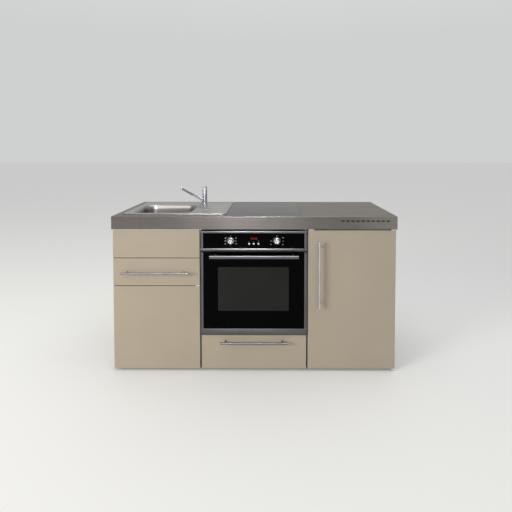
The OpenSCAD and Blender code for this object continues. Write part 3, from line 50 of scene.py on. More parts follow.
def linear(hexColour):
    # sRGB hex to the linear values that the shaders work in
    channels = [int(hexColour[i:i + 2], 16) / 255 for i in (0, 2, 4)]
    toned = [c / 12.92 if c <= 0.04045 else ((c + 0.055) / 1.055) ** 2.4 for c in channels]
    return (*toned, 1.0)


def perMetre(sizeMm):
    # how often a pattern of this real size repeats in a metre
    return 1000.0 / sizeMm


def addNode(tree, kind, settings=None, links=None, ramp=None):
    # settings hold properties and socket values, links hold socket: source output
    node = tree.nodes.new(kind)
    for key, value in (settings or {}).items():
        if hasattr(node, str(key)):
            setattr(node, key, value)
        else:
            node.inputs[key].default_value = value
    for key, source in (links or {}).items():
        tree.links.new(source, node.inputs[key])
    for number, (place, colour) in enumerate(ramp or []):
        stops = node.color_ramp.elements
        stop = stops[number] if number < len(stops) else stops.new(place)
        stop.position = place
        stop.color = colour
    return node


def startMaterial(name, settings):
    material = bpy.data.materials.new(name)
    material.use_nodes = True
    tree = material.node_tree
    shader = tree.nodes["Principled BSDF"]
    for socket, value in settings.items():
        shader.inputs[socket].default_value = value
    points = addNode(tree, "ShaderNodeTexCoord").outputs["Object"]
    return material, tree, shader, points


def finishSurface(tree, shader, tones, gloss=None, skin=None):
    # colour, gloss and relief follow noise patterns; a span is where nearly all values of a pattern lie
    pattern, (start, end), (low, high) = tones
    tone = addNode(tree, "ShaderNodeValToRGB", links={"Fac": pattern},
                   ramp=[(start, linear(low)), (end, linear(high))])
    tree.links.new(tone.outputs["Color"], shader.inputs["Base Color"])
    if gloss:
        pattern, (start, end), spread = gloss
        middle = shader.inputs["Roughness"].default_value
        wiped = addNode(tree, "ShaderNodeMapRange", {
            "From Min": start, "From Max": end, "To Min": middle - spread, "To Max": middle + spread},
            {"Value": pattern})
        tree.links.new(wiped.outputs["Result"], shader.inputs["Roughness"])
    if skin:
        pattern, strength, depth = skin
        relief = addNode(tree, "ShaderNodeBump", {"Strength": strength, "Distance": depth},
                         {"Height": pattern})
        tree.links.new(relief.outputs["Normal"], shader.inputs["Normal"])


# sizes of lines and clouds in millimetres
brushLook = {"lineWidth": 1.5, "lineLength": 160, "clouds": 240, "span": (0.3, 0.7), "glossShift": 0.05,
             "relief": 0.12, "reliefDepth": 0.1 * mm, "stretch": (0.0, 0.7, 0.7)}


def brushedSteel(name, settings, low, high):
    # stainless steel, brushed along X: fine lines along the grain and a highlight drawn out across it
    look = brushLook
    material, tree, shader, points = startMaterial(name, {"Metallic": 1.0, **settings})
    # real brush lines are about 0.1 mm wide, drawn 1.5 mm wide here so that they show
    across, along = perMetre(look["lineWidth"]), perMetre(look["lineLength"])
    lines = addNode(tree, "ShaderNodeMapping", {"Scale": (along, across, across)}, {"Vector": points})
    brush = addNode(tree, "ShaderNodeTexNoise", {"Scale": 1.0, "Detail": 3.0},
                    {"Vector": lines.outputs[0]}).outputs["Fac"]
    clouds = addNode(tree, "ShaderNodeTexNoise", {"Scale": perMetre(look["clouds"]), "Detail": 2.0},
                     {"Vector": points}).outputs["Fac"]
    finishSurface(tree, shader, (brush, look["span"], (low, high)),
                  (clouds, look["span"], look["glossShift"]), (brush, look["relief"], look["reliefDepth"]))
    stretch = addNode(tree, "ShaderNodeCombineXYZ", dict(enumerate(look["stretch"])))
    tangent = addNode(tree, "ShaderNodeVectorTransform",
                      {"vector_type": "VECTOR", "convert_from": "OBJECT", "convert_to": "WORLD"},
                      {"Vector": stretch.outputs[0]})
    tree.links.new(tangent.outputs[0], shader.inputs["Tangent"])
    return material


mottleLook = {"toneSpan": (0.35, 0.65), "glossSpan": (0.3, 0.7), "skinDepth": 0.2 * mm}


def mottled(name, settings, low, high, patternMm, bumpMm=0.0, bumpStrength=0.3, spread=0.0, detail=3.0):
    # one surface whose colour and gloss wander a little over a pattern of a real size
    look = mottleLook
    material, tree, shader, points = startMaterial(name, settings)
    pattern = addNode(tree, "ShaderNodeTexNoise", {"Scale": perMetre(patternMm), "Detail": detail},
                      {"Vector": points}).outputs["Fac"]
    gloss = (pattern, look["glossSpan"], spread) if spread else None
    skin = None
    if bumpMm:
        grains = addNode(tree, "ShaderNodeTexNoise", {"Scale": perMetre(bumpMm), "Detail": 2.0},
                         {"Vector": points}).outputs["Fac"]
        skin = (grains, bumpStrength, look["skinDepth"])
    finishSurface(tree, shader, (pattern, look["toneSpan"], (low, high)), gloss, skin)
    return material


# stainless sheet, brushed: grey with a warm cast, lines run along the worktop
worktopSteel = brushedSteel("brushedStainlessSheet", {
    "Roughness": 0.3, "Anisotropic": 0.65, "Specular Tint": linear("f2ece6")}, "716d69", "7d7974")
# stainless sheet, drawn and satin polished: lighter and softer than the worktop
sinkSteel = brushedSteel("satinStainlessBowl", {
    "Roughness": 0.32, "Anisotropic": 0.3, "Specular Tint": linear("ffffff")}, "9f9c99", "a8a5a2")
# stainless trim, ground along its length: a streak of light that fades towards both ends
trimSteel = brushedSteel("groundStainlessTrim", {
    "Roughness": 0.32, "Anisotropic": 0.75, "Specular Tint": linear("cccccc")}, "5a5a5a", "626262")
# stainless handle, satin ground and toned darker as painted shade: light along the top that fades to a dark
# underside
shadedHandleSteel = mottled("shadedStainlessHandle", {"Metallic": 1.0, "Roughness": 0.34}, "626164", "69686b", 90,
                      spread=0.02)
# stainless bar, drawn, toned to a middle grey as painted light and shade: an even light grey that darkens
# below
halfLitBarSteel = mottled("halfLitStainlessBar", {"Metallic": 1.0, "Roughness": 0.26}, "9c9b9e", "a4a3a6", 90,
                   spread=0.02)
# stainless bar, drawn and polished, toned lightest as a painted highlight: a bright line on top and a darker
# underside
litBarSteel = mottled("litStainlessBar", {"Metallic": 1.0, "Roughness": 0.16}, "c0bfc2", "cac9cc", 90,
                      spread=0.02)
# brass, chrome plated and polished: bright, with soft stripes of what stands round it
chromePlate = mottled("polishedChromePlate", {"Metallic": 1.0, "Roughness": 0.13}, "e2e1ea", "ebeaf2", 60,
                      bumpMm=30, bumpStrength=0.02, spread=0.02)
# steel sheet, powder coated: soft sand colour with the fine orange peel of the spray
sandCoat = mottled("powderCoatedSandSheet", {"Roughness": 0.42, "Specular IOR Level": 0.4}, "aba08f",
                   "aea392", 300, bumpMm=2.4, bumpStrength=0.1, spread=0.03)
# chipboard, melamine faced: pale, flat and slightly mottled
melamineBoard = mottled("melamineFacedBoard", {"Roughness": 0.5}, "bdb9b7", "c2bebc", 26, bumpMm=1.5,
                        bumpStrength=0.08)
# toughened glass, enamelled black from behind: deep black under a clear flat gloss
ovenGlass = mottled("blackEnamelledGlass", {"Roughness": 0.06, "Specular IOR Level": 0.03}, "020202",
                    "030303", 180, spread=0.015)
# glass ceramic, ground flat: black, and at a low angle it mirrors the room
hobCeramic = mottled("blackGlassCeramic", {
    "Roughness": 0.09, "Specular IOR Level": 0.13, "Specular Tint": linear("ffe8d8")}, "0a0a0a", "0e0d0c",
    120, spread=0.02)
# steel sheet, hot-dip galvanised: dull zinc with spangle
zincSheet = mottled("galvanisedSheet", {"Metallic": 1.0, "Roughness": 0.42}, "999c9f", "a4a7aa", 10,
                    spread=0.04)
# polypropylene, moulded: milky white with a waxy sheen
polypropylene = mottled("mouldedPolypropylene", {"Roughness": 0.38}, "d9dad6", "e3e4e0", 40, bumpMm=2,
                        bumpStrength=0.06)
# brass, turned: yellow metal with a dull skin
brassTurned = mottled("turnedBrass", {"Metallic": 1.0, "Roughness": 0.28}, "a98a4e", "bb9c5e", 12,
                      spread=0.06)
# ABS, moulded: black and slightly rough
blackAbs = mottled("mouldedBlackAbs", {"Roughness": 0.5}, "141416", "1b1b1e", 20, bumpMm=1.0,
                   bumpStrength=0.15)
# steel, vitreous enamelled: blue black with pale specks from the kiln
enamelSteel = mottled("vitreousEnamel", {"Roughness": 0.22}, "15171c", "272a31", 1.6, spread=0.04, detail=5.0)
# silicone rubber, extruded: dark grey and matt
siliconeSeal = mottled("extrudedSilicone", {"Roughness": 0.7}, "2a2b2d", "343537", 6, bumpMm=1.2)
# steel sheet, stove enamelled white: smooth and even
fridgePaint = mottled("stoveEnamelledWhiteSheet", {"Roughness": 0.35}, "d8dadb", "e0e2e3", 200, bumpMm=2.0,
                      bumpStrength=0.08)
# polystyrene, vacuum formed: white and glossy with soft waves
linerPlastic = mottled("vacuumFormedPolystyrene", {"Roughness": 0.25}, "dcdfe0", "e4e7e8", 90, bumpMm=35,
                       bumpStrength=0.1)
# polyurethane, foamed in place: yellowish cells
insulationFoam = mottled("foamedPolyurethane", {"Roughness": 0.9}, "c9b56f", "dac987", 4, bumpMm=3,
                         bumpStrength=0.6)
# aluminium sheet, roll bonded: white metal with shallow waves
evaporatorSheet = mottled("rollBondedAluminium", {"Metallic": 1.0, "Roughness": 0.34}, "c4c6c8", "d0d2d4", 22,
                          bumpMm=26, bumpStrength=0.3)
# float glass, toughened: clear with a green edge
shelfGlass = mottled("toughenedFloatGlass", {"Roughness": 0.02, "Transmission Weight": 0.92, "IOR": 1.52},
                     "d6ebe2", "dcefe7", 200)
# polystyrene, injection moulded: clear with a cold tint
clearPolystyrene = mottled("mouldedClearPolystyrene", {
    "Roughness": 0.08, "Transmission Weight": 0.85, "IOR": 1.58}, "d5e2e8", "dde9ee", 80, bumpMm=20,
    bumpStrength=0.05)
# steel, dipped in black paint: half gloss
blackPaint = mottled("dippedBlackPaint", {"Roughness": 0.36}, "101113", "18191c", 25, bumpMm=6,
                     bumpStrength=0.1)
# soft PVC, extruded: light grey with a dull face
doorSeal = mottled("extrudedSoftPvc", {"Roughness": 0.6}, "a4a6aa", "b0b2b6", 30, bumpMm=1.5)

slotFinish = {
    "brushed_sheet": worktopSteel, "chrome_plate": chromePlate, "brushed_bar": trimSteel,
    "waste_plastic": polypropylene, "brass_fitting": brassTurned, "black_glass": ovenGlass,
    "zinc_sheet": zincSheet, "carcass_board": melamineBoard, "front_lacquer": sandCoat,
    "foot_plastic": blackAbs, "oven_enamel": enamelSteel, "seal_rubber": siliconeSeal,
    "fridge_paint": fridgePaint, "fridge_plastic": linerPlastic, "foam": insulationFoam,
    "evaporator_sheet": evaporatorSheet, "shelf_glass": shelfGlass, "clear_plastic": clearPolystyrene,
    "black_paint": blackPaint, "door_seal": doorSeal,
}
# the three bar handles are one and the same steel; their three tones paint the light and shade that falls on
# each
nodeFinish = {
    "sink": sinkSteel, "sink_strainer": sinkSteel, "hob_glass": hobCeramic, "drawer_handle": halfLitBarSteel,
    "low_drawer_handle": shadedHandleSteel, "fridge_door_handle": litBarSteel,
}
for nodeName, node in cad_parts.items():
    for place in node.material_slots:
        place.material = nodeFinish.get(nodeName) or slotFinish[place.material.name]
print("materials on the CAD nodes")


def finishMesh(name, shape, sharpDegrees=40, mergeDistance=0.01 * mm):
    # merges doubles, points the faces outwards and shades round parts smooth
    bmesh.ops.remove_doubles(shape, verts=shape.verts, dist=mergeDistance)
    bmesh.ops.recalc_face_normals(shape, faces=shape.faces)
    for face in shape.faces:
        face.smooth = True
    mesh = bpy.data.meshes.new(name)
    shape.to_mesh(mesh)
    shape.free()
    mesh.set_sharp_from_angle(angle=math.radians(sharpDegrees))
    return mesh


def placeObject(name, data):
    placed = bpy.data.objects.new(name, data)
    bpy.context.scene.collection.objects.link(placed)
    return placed


def takeMesh(holder):
    # the plain mesh of a helper object; its modifier and the helper itself go once the mesh is read
    mesh = bpy.data.meshes.new_from_object(holder.evaluated_get(bpy.context.evaluated_depsgraph_get()))
    holder.modifiers.clear()
    bpy.data.objects.remove(holder)
    return mesh


def addPiece(mesh, body, finish, replaced=()):
    mesh.materials.clear()
    mesh.materials.append(finish)
    piece = placeObject(mesh.name, mesh)
    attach(piece, body)
    if replaced:
        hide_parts(*replaced)


def roundedLoop(middle, size, radius, level, arcSteps=10):
    # a level rounded rectangle, with the same number of points whatever its size
    loop = []
    for corner, (sideX, sideY) in enumerate([(1, 1), (-1, 1), (-1, -1), (1, -1)]):
        centre = Vector((middle[0] + sideX * (size[0] / 2 - radius),
                         middle[1] + sideY * (size[1] / 2 - radius), level))
        for step in range(arcSteps + 1):
            angle = math.pi / 2 * (corner + step / arcSteps)
            loop.append(centre + Vector((radius * math.cos(angle), radius * math.sin(angle), 0)))
    return loop


def uprightLoop(middle, size, radius, level, arcSteps):
    # the same rounded rectangle stood up, so that it looks towards -Y; middle and size in X and Z
    return [Vector((point.x, level, point.y)) for point in roundedLoop(middle, size, radius, 0.0, arcSteps)]


def skinLoops(shape, loops, closeStart=False, closeEnd=False):
    rings = [[shape.verts.new(point) for point in loop] for loop in loops]
    for near, far in zip(rings, rings[1:]):
        for spot in range(len(near)):
            after = (spot + 1) % len(near)
            shape.faces.new((near[spot], near[after], far[after], far[spot]))
    if closeStart:
        shape.faces.new(rings[0][::-1])
    if closeEnd:
        shape.faces.new(rings[-1])


def turnedLoops(profile, centre, axis, steps=48, least=0.01 * mm):
    # rings of a turned shape: profile gives (radius, distance along the axis), with a pinhole at the poles
    along = Vector(axis).normalized()
    side = along.orthogonal().normalized()
    other = along.cross(side)
    return [[Vector(centre) + along * distance
             + (side * math.cos(turn) + other * math.sin(turn)) * max(radius, least)
             for turn in (2 * math.pi * step / steps for step in range(steps))]
            for radius, distance in profile]


def facePlate(shape, middle, size, radius, front, depth, arcSteps=8):
    # a rounded plate that looks towards -Y
    loops = [uprightLoop(middle, size, radius, level, arcSteps) for level in (front + depth, front)]
    skinLoops(shape, loops, closeStart=True, closeEnd=True)


def printStroke(shape, start, end, width, front, depth=0.12 * mm):
    # a printed line on a face that looks towards -Y, from one X and Z to another
    along = Vector((end[0] - start[0], 0, end[1] - start[1]))
    side = Vector((-along.z, 0, along.x)).normalized() * width / 2
    corners = [Vector((place[0], 0, place[1])) + way * side
               for place, way in ((start, 1), (end, 1), (end, -1), (start, -1))]
    loops = [[corner + Vector((0, level, 0)) for corner in corners] for level in (front, front - depth)]
    skinLoops(shape, loops, closeStart=True, closeEnd=True)


def printDisc(shape, middle, radius, front, depth=0.12 * mm, steps=16):
    loops = turnedLoops([(radius, 0.0), (radius, depth)], (middle[0], front, middle[1]), (0, -1, 0), steps)
    skinLoops(shape, loops, closeStart=True, closeEnd=True)


def crownedBar(shape, low, high, front, crown, edge, fullness, steps=10):
    # a bar on a face that looks towards -Y, from low to high in X and Z, convex across its narrow side
    upright = high[1] - low[1] > high[0] - low[0]
    ends = []
    for end in (0, 1):
        loop = []
        for step in range(steps + 1):
            turn = 2 * step / steps - 1
            level = front - crown * math.cos(turn * math.pi / 2) ** fullness - edge
            if upright:
                place = (low[0] + (high[0] - low[0]) * step / steps, level, (low[1], high[1])[end])
            else:
                place = ((low[0], high[0])[end], level, low[1] + (high[1] - low[1]) * step / steps)
            loop.append(Vector(place))
        loop += [Vector((loop[-1].x, front, loop[-1].z)), Vector((loop[0].x, front, loop[0].z))]
        ends.append(loop)
    skinLoops(shape, ends, closeStart=True, closeEnd=True)


def groupInputs(tree, sockets):
    # named inputs of a geometry tree, given as name: (socket kind, default)
    tree.interface.new_socket("Geometry", in_out="OUTPUT", socket_type="NodeSocketGeometry")
    tree.interface.new_socket("Geometry", in_out="INPUT", socket_type="NodeSocketGeometry")
    for name, (kind, value) in sockets.items():
        socket = tree.interface.new_socket(name, in_out="INPUT", socket_type="NodeSocket" + kind)
        if value is not None:
            socket.default_value = value
    return addNode(tree, "NodeGroupInput").outputs


def endTree(tree, copies, finish):
    # the copies become real meshes, with their finish
    solid = addNode(tree, "GeometryNodeRealizeInstances", links={"Geometry": copies.outputs["Instances"]})
    finished = addNode(tree, "GeometryNodeSetMaterial", links={
        "Geometry": solid.outputs["Geometry"], "Material": finish})
    addNode(tree, "NodeGroupOutput", links={"Geometry": finished.outputs["Geometry"]})
    return tree


def growMesh(name, tree, values, points=(), facing=()):
    # runs a geometry tree on a few seed points and returns the result as a plain mesh
    seed = bpy.data.meshes.new(name + "Seed")
    seed.from_pydata([tuple(point) for point in points], [], [])
    if facing:
        normals = seed.attributes.new("facing", "FLOAT_VECTOR", "POINT")
        for spot, way in enumerate(facing):
            normals.data[spot].vector = way
    holder = placeObject(name + "Seed", seed)
    modifier = holder.modifiers.new("grow", "NODES")
    modifier.node_group = tree
    for socket in tree.interface.items_tree:
        if socket.item_type == "SOCKET" and socket.in_out == "INPUT" and socket.name in values:
            modifier[socket.identifier] = values[socket.name]
    grown = takeMesh(holder)
    grown.name = name
    return grown


def ringTree():
    # short bars set round an arc, each pointing outwards: dial ticks and grip ribs
    tree = bpy.data.node_groups.new("barsRoundArc", "GeometryNodeTree")
    given = groupInputs(tree, {
        "Count": ("Int", 12), "Radius": ("Float", 0.02),
        "Start": ("Float", 0.0), "Sweep": ("Float", 3.0),
        "Bar": ("Vector", (0.002, 0.0005, 0.0001)), "Finish": ("Material", None)})
    arc = addNode(tree, "GeometryNodeCurveArc", {"mode": "RADIUS"}, {
        "Resolution": given["Count"], "Radius": given["Radius"], "Start Angle": given["Start"],
        "Sweep Angle": given["Sweep"]})
    spots = addNode(tree, "GeometryNodeCurveToPoints", {"mode": "EVALUATED"}, {"Curve": arc.outputs["Curve"]})
    where = addNode(tree, "GeometryNodeInputPosition")
    outward = addNode(tree, "FunctionNodeAlignRotationToVector", {"axis": "X"},
                      {"Vector": where.outputs["Position"]})
    bar = addNode(tree, "GeometryNodeMeshCube", links={"Size": given["Bar"]})
    copies = addNode(tree, "GeometryNodeInstanceOnPoints", links={
        "Points": spots.outputs["Points"], "Instance": bar.outputs["Mesh"],
        "Rotation": outward.outputs["Rotation"]})
    return endTree(tree, copies, given["Finish"])


def screwTree():
    # cross-head screws on seed points, each along the point's facing
    tree = bpy.data.node_groups.new("screwHeads", "GeometryNodeTree")
    given = groupInputs(tree, {
        "Head Radius": ("Float", 0.004), "Head Height": ("Float", 0.002),
        "Cross": ("Vector", (0.005, 0.001, 0.002)), "Cross Rise": ("Vector", (0, 0, 0.001)),
        "Finish": ("Material", None)})
    head = addNode(tree, "GeometryNodeMeshCylinder", {"Vertices": 20}, {
        "Radius": given["Head Radius"], "Depth": given["Head Height"]})
    slot = addNode(tree, "GeometryNodeMeshCube", links={"Size": given["Cross"]})
    turned = addNode(tree, "GeometryNodeTransform", {"Rotation": (0, 0, math.pi / 2)},
                     {"Geometry": slot.outputs["Mesh"]})
    crossed = addNode(tree, "GeometryNodeJoinGeometry", links={"Geometry": slot.outputs["Mesh"]})
    tree.links.new(turned.outputs["Geometry"], crossed.inputs["Geometry"])
    lifted = addNode(tree, "GeometryNodeTransform", links={
        "Translation": given["Cross Rise"], "Geometry": crossed.outputs["Geometry"]})
    cut = addNode(tree, "GeometryNodeMeshBoolean", {"operation": "DIFFERENCE"},
                  {"Mesh 1": head.outputs["Mesh"], "Mesh 2": lifted.outputs["Geometry"]})
    facing = addNode(tree, "GeometryNodeInputNamedAttribute", {"data_type": "FLOAT_VECTOR", "Name": "facing"})
    aimed = addNode(tree, "FunctionNodeAlignRotationToVector", {"axis": "Z"},
                    {"Vector": facing.outputs["Attribute"]})
    copies = addNode(tree, "GeometryNodeInstanceOnPoints", links={
        "Points": given["Geometry"], "Instance": cut.outputs["Mesh"], "Rotation": aimed.outputs["Rotation"]})
    return endTree(tree, copies, given["Finish"])


def wireTree():
    # a row of upright wires, one step apart
    tree = bpy.data.node_groups.new("wireRow", "GeometryNodeTree")
    given = groupInputs(tree, {
        "Count": ("Int", 10), "Step": ("Vector", (0.01, 0, 0)),
        "Radius": ("Float", 0.001), "Length": ("Float", 0.5),
        "Finish": ("Material", None)})
    row = addNode(tree, "GeometryNodeMeshLine", {"mode": "OFFSET"}, {
        "Count": given["Count"], "Offset": given["Step"]})
    wire = addNode(tree, "GeometryNodeMeshCylinder", {"Vertices": 8}, {
        "Radius": given["Radius"], "Depth": given["Length"]})
    copies = addNode(tree, "GeometryNodeInstanceOnPoints", links={
        "Points": row.outputs["Mesh"], "Instance": wire.outputs["Mesh"]})
    return endTree(tree, copies, given["Finish"])


barsRoundArc = ringTree()
screwHeads = screwTree()
wireRow = wireTree()


# sections are pairs of inset or radius and height, in millimetres
sinkLook = {
    "plateDrop": 4 * mm, "rimWidth": 10 * mm, "cornerRadius": 18 * mm, "cornerShare": 0.6,
    "rimUp": [(0, -5), (0, -2), (0.6, -0.6), (2, 0), (3.4, -0.1), (5, -0.9)],
    "rimDown": [(-2, 0.9), (0, 0.2), (2, 0)],
    "bowlLeft": 26 * mm, "bowlFront": 46 * mm, "bowlSize": (362 * mm, 350 * mm), "bowlRadius": 66 * mm,
    "bowlShare": 0.4, "mouthRoll": 9 * mm, "shoulderTilt": 24, "shoulder": 85 * mm, "draft": 4,
    "floorRadius": 30 * mm, "arcSteps": 10, "wasteRadius": 47 * mm, "apron": 2, "apronRound": 1.7,
    "sheet": 0.9 * mm, "underside": 0.1 * mm,
}
ribLook = {"count": 5, "size": (140 * mm, 8 * mm), "margin": 78 * mm, "inset": 34 * mm,
           "shortBeside": 23 * mm, "shortShare": 0.5, "section": [(0, 0), (1, 1.08), (2.4, 1.8)],
           "endGap": 0.05 * mm, "arcSteps": 5}
capLook = {"place": (-352 * mm, 87 * mm),
           "section": [(0, 0.6), (16, 0.6), (17, 1.2), (16, 2.6), (12, 2.9), (9, 2.3), (0, 2)],
           "seal": [(0, 0), (18.5, 0), (18.5, 0.9), (0, 0.9)]}


def inMetres(section, over=0.0):
    return [(across * mm, over + up * mm) for across, up in section]


def makeSink():
    look = sinkLook
    low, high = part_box("sink")
    middle = ((low.x + high.x) / 2, (low.y + high.y) / 2)
    size = (high.x - low.x, high.y - low.y)
    plate = high.z - look["plateDrop"]
    # raised rim from the worktop over its crest and down to the plate
    section = inMetres(look["rimUp"], high.z)
    section += [(look["rimWidth"] + inset, level) for inset, level in inMetres(look["rimDown"], plate)]
    loops = [roundedLoop(middle, (size[0] - 2 * inset, size[1] - 2 * inset),
                         look["cornerRadius"] - inset * look["cornerShare"], level)
             for inset, level in section]
    bowlSize = look["bowlSize"]
    bowlMiddle = (low.x + look["bowlLeft"] + bowlSize[0] / 2, low.y + look["bowlFront"] + bowlSize[1] / 2)
    floor = low.z + look["sheet"] + look["underside"]
    # the wall as arcs of a radius between two angles from upright: rolled mouth, soft shoulder, floor bend
    tilt, draft = look["shoulderTilt"], look["draft"]
    arcs = [(look["mouthRoll"], 90, tilt), (look["shoulder"], tilt, draft), (look["floorRadius"], draft, 90)]
    steps = look["arcSteps"]
    turns = [[math.radians(first + (last - first) * step / steps) for step in range(steps + 1)]
             for radius, first, last in arcs]
    drops = [radius * abs(math.sin(turn[-1]) - math.sin(turn[0]))
             for (radius, first, last), turn in zip(arcs, turns)]
    straight = plate - floor - sum(drops)
    inset, level = 0.0, plate
    bowl = [(inset, level)]
    for (radius, first, last), turn in zip(arcs, turns):
        if last == 90:       # the straight wall, just above the floor bend
            inset += straight * math.tan(turn[0])
            level -= straight
            bowl.append((inset, level))
        for before, after in zip(turn, turn[1:]):
            inset += radius * abs(math.cos(after) - math.cos(before))
            level -= radius * abs(math.sin(after) - math.sin(before))
            bowl.append((inset, level))
    for inset, level in bowl:
        loops.append(roundedLoop(bowlMiddle, (bowlSize[0] - 2 * inset, bowlSize[1] - 2 * inset),
                                 look["bowlRadius"] - inset * look["bowlShare"], level))
    waste = look["wasteRadius"]
    for share, rounding in ((look["apron"], look["apronRound"]), (1, 1)):
        size = 2 * waste * share
        loops.append(roundedLoop(bowlMiddle, (size, size), waste * rounding, floor))
    shape = bmesh.new()
    skinLoops(shape, loops)
    for loop in (loops[0], loops[-1]):
        skinLoops(shape, [loop, [point - Vector((0, 0, look["sheet"])) for point in loop]])
    look = ribLook
    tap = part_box("tap_body")[0].y
    firstRib, lastRib = low.y + look["margin"], high.y - look["margin"]
    for rib in range(look["count"]):
        ribY = firstRib + rib * (lastRib - firstRib) / (look["count"] - 1)
        length, width = look["size"]
        if ribY > tap - look["shortBeside"]:
            length *= look["shortShare"]
        ribMiddle = (high.x - look["inset"] - length / 2, ribY)
        skinLoops(shape, [roundedLoop(ribMiddle, (length - 2 * inset, width - 2 * inset),
                                      width / 2 - inset - look["endGap"], level, look["arcSteps"])
                          for inset, level in inMetres(look["section"], plate)], closeEnd=True)
    addPiece(finishMesh("sinkShell", shape, sharpDegrees=50), "cabinet", sinkSteel, ["sink"])
    # blanking cap of the spare tap hole: a dished steel button with a dark seal under its edge
    for name, section, slot, finish in (("tapHoleCap", "section", "brushed_sheet", sinkSteel),
                                        ("tapHoleSeal", "seal", "seal_rubber", siliconeSeal)):
        shape = bmesh.new()
        skinLoops(shape, turnedLoops(inMetres(capLook[section]), (*capLook["place"], plate), (0, 0, 1)))
        addPiece(finishMesh(name, shape), "cabinet", finish)


makeSink()
print("sink")


# enamel ink, screen printed: pale grey and matt
printInk = mottled("screenPrintedInk", {"Roughness": 0.55}, "c9cacb", "dcdddd", 4)
# acrylic, tinted red and lit a little from behind
displayLens = mottled("redAcrylicLens", {
    "Roughness": 0.1, "Specular IOR Level": 0.1, "Emission Color": linear("c01420"),
    "Emission Strength": 0.05}, "3a0508", "46070b", 30)
# light-emitting segments behind the lens: red and evenly lit
litSegments = mottled("litRedSegments", {
    "Roughness": 0.4, "Emission Color": linear("e0141c"), "Emission Strength": 0.12}, "6c0b11", "7a0d13", 2,
    detail=2.0)
# glass with a dotted grey print behind it: an even dark grey, a little softer than the door round it
windowGlass = mottled("tintedWindowGlass", {"Roughness": 0.12, "Specular IOR Level": 0.12}, "1f1f1f",
                      "232323", 160)
# ABS, extruded and glued on: pale lilac edge with a dull gloss, its pale tone also a painted highlight of the
# lit edge under the worktop
edgeBandAndHighlight = mottled("absEdgingAndHighlight", {"Roughness": 0.4}, "c6bfca", "d0c9d4", 12, bumpMm=2)
# nylon, moulded: near white with a cold cast
bushPlastic = mottled("mouldedNylon", {"Roughness": 0.3}, "dedcf0", "e8e6f6", 5, bumpMm=2)
# borosilicate glass, pressed: milky, thick and stepped
lampGlass = mottled("pressedLampGlass", {"Roughness": 0.14}, "ccd2d0", "d8dddb", 12, bumpMm=5,
                    bumpStrength=0.1)
# glaze ink, fired on: dark grey on black
hobInk = mottled("firedGlazeInk", {"Roughness": 0.4}, "2c2c2c", "343434", 6)

trimLook = {"crown": 2.0 * mm, "sideCrown": 0.5 * mm, "edge": 0.05 * mm, "fullness": 0.8}


def frameBars(low, high, paneLow, paneHigh, capped):
    # bars round a pane: the low one, the two sides, and a top one where the frame is closed above
    sideTop = paneHigh.z if capped else high.z
    bars = [((low.x, low.z), (high.x, paneLow.z)), ((low.x, paneLow.z), (paneLow.x, sideTop)),
            ((paneHigh.x, paneLow.z), (high.x, sideTop))]
    return bars + ([((low.x, paneHigh.z), (high.x, high.z))] if capped else [])


def makeOvenTrims():
    # steel trims on the flat frames: the level ones convex, the upright ones nearly flat
    for name, body, frameNode, paneNode, capped in (
            ("controlTrim", "cabinet", "control_frame", "control_glass", True),
            ("doorTrim", "oven_door", "oven_door_frame", "oven_door_glass", False)):
        low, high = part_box(frameNode)
        shape = bmesh.new()
        for barLow, barHigh in frameBars(low, high, *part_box(paneNode), capped):
            level = barHigh[0] - barLow[0] > barHigh[1] - barLow[1]
            crownedBar(shape, barLow, barHigh, low.y, trimLook["crown" if level else "sideCrown"],
                       trimLook["edge"], trimLook["fullness"])
        addPiece(finishMesh(name, shape), body, trimSteel)


# in millimetres: ends are (distance from the end, growth of the oval), posts (radius, height over the glass)
handleLook = {"power": 2.6, "steps": 28, "depth": 15 * mm, "ends": [(0.6, -1.2), (1.2, 0), (3, 0), (3, -0.6)],
              "posts": [(6, 2.5), (7.5, 1.5), (7.5, 0)], "postInset": 30 * mm}


def makeOvenHandle():
    # an oval bar with a plain cap on each end, on two black posts
    look = handleLook
    low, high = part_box("oven_door_handle")
    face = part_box("oven_door_glass")[0].y
    reach = (look["depth"] / 2, (high.z - low.z) / 2)
    middle = Vector(((low.x + high.x) / 2, low.y + reach[0], (low.z + high.z) / 2))

    def oval(x, over):
        points = []
        for step in range(look["steps"]):
            turn = 2 * math.pi * step / look["steps"]
            across, up = [math.copysign(abs(part) ** (2 / look["power"]), part) * (half + over)
                          for part, half in zip((math.cos(turn), math.sin(turn)), reach)]
            points.append(Vector((x, middle.y + across, middle.z + up)))
        return points

    ends = inMetres(look["ends"])
    shape = bmesh.new()
    skinLoops(shape, [oval(low.x + inward, over) for inward, over in ends]
              + [oval(high.x - inward, over) for inward, over in ends[::-1]], True, True)
    addPiece(finishMesh("ovenHandleBar", shape, sharpDegrees=35), "oven_door", shadedHandleSteel,
             ["oven_door_handle"])
    shape = bmesh.new()
    for side in (-1, 1):
        post = Vector((middle.x + side * ((high.x - low.x) / 2 - look["postInset"]), 0, middle.z))
        rings = [(radius, face - out) for radius, out in inMetres(look["posts"])]
        skinLoops(shape, turnedLoops([(rings[0][0], middle.y)] + rings, post, (0, 1, 0)), True, True)
    addPiece(finishMesh("ovenHandlePosts", shape, sharpDegrees=35), "oven_door", blackAbs)


windowLook = {"size": (397 * mm, 248 * mm), "shift": (-2.5 * mm, 9 * mm), "radius": 5 * mm,
              "proud": 0.15 * mm}


def makeOvenWindow():
    low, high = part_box("oven_door_glass")
    look = windowLook
    middle = ((low.x + high.x) / 2 + look["shift"][0], (low.z + high.z) / 2 + look["shift"][1])
    shape = bmesh.new()
    facePlate(shape, middle, look["size"], look["radius"], low.y - look["proud"], look["proud"])
    addPiece(finishMesh("ovenWindow", shape), "oven_door", windowGlass)


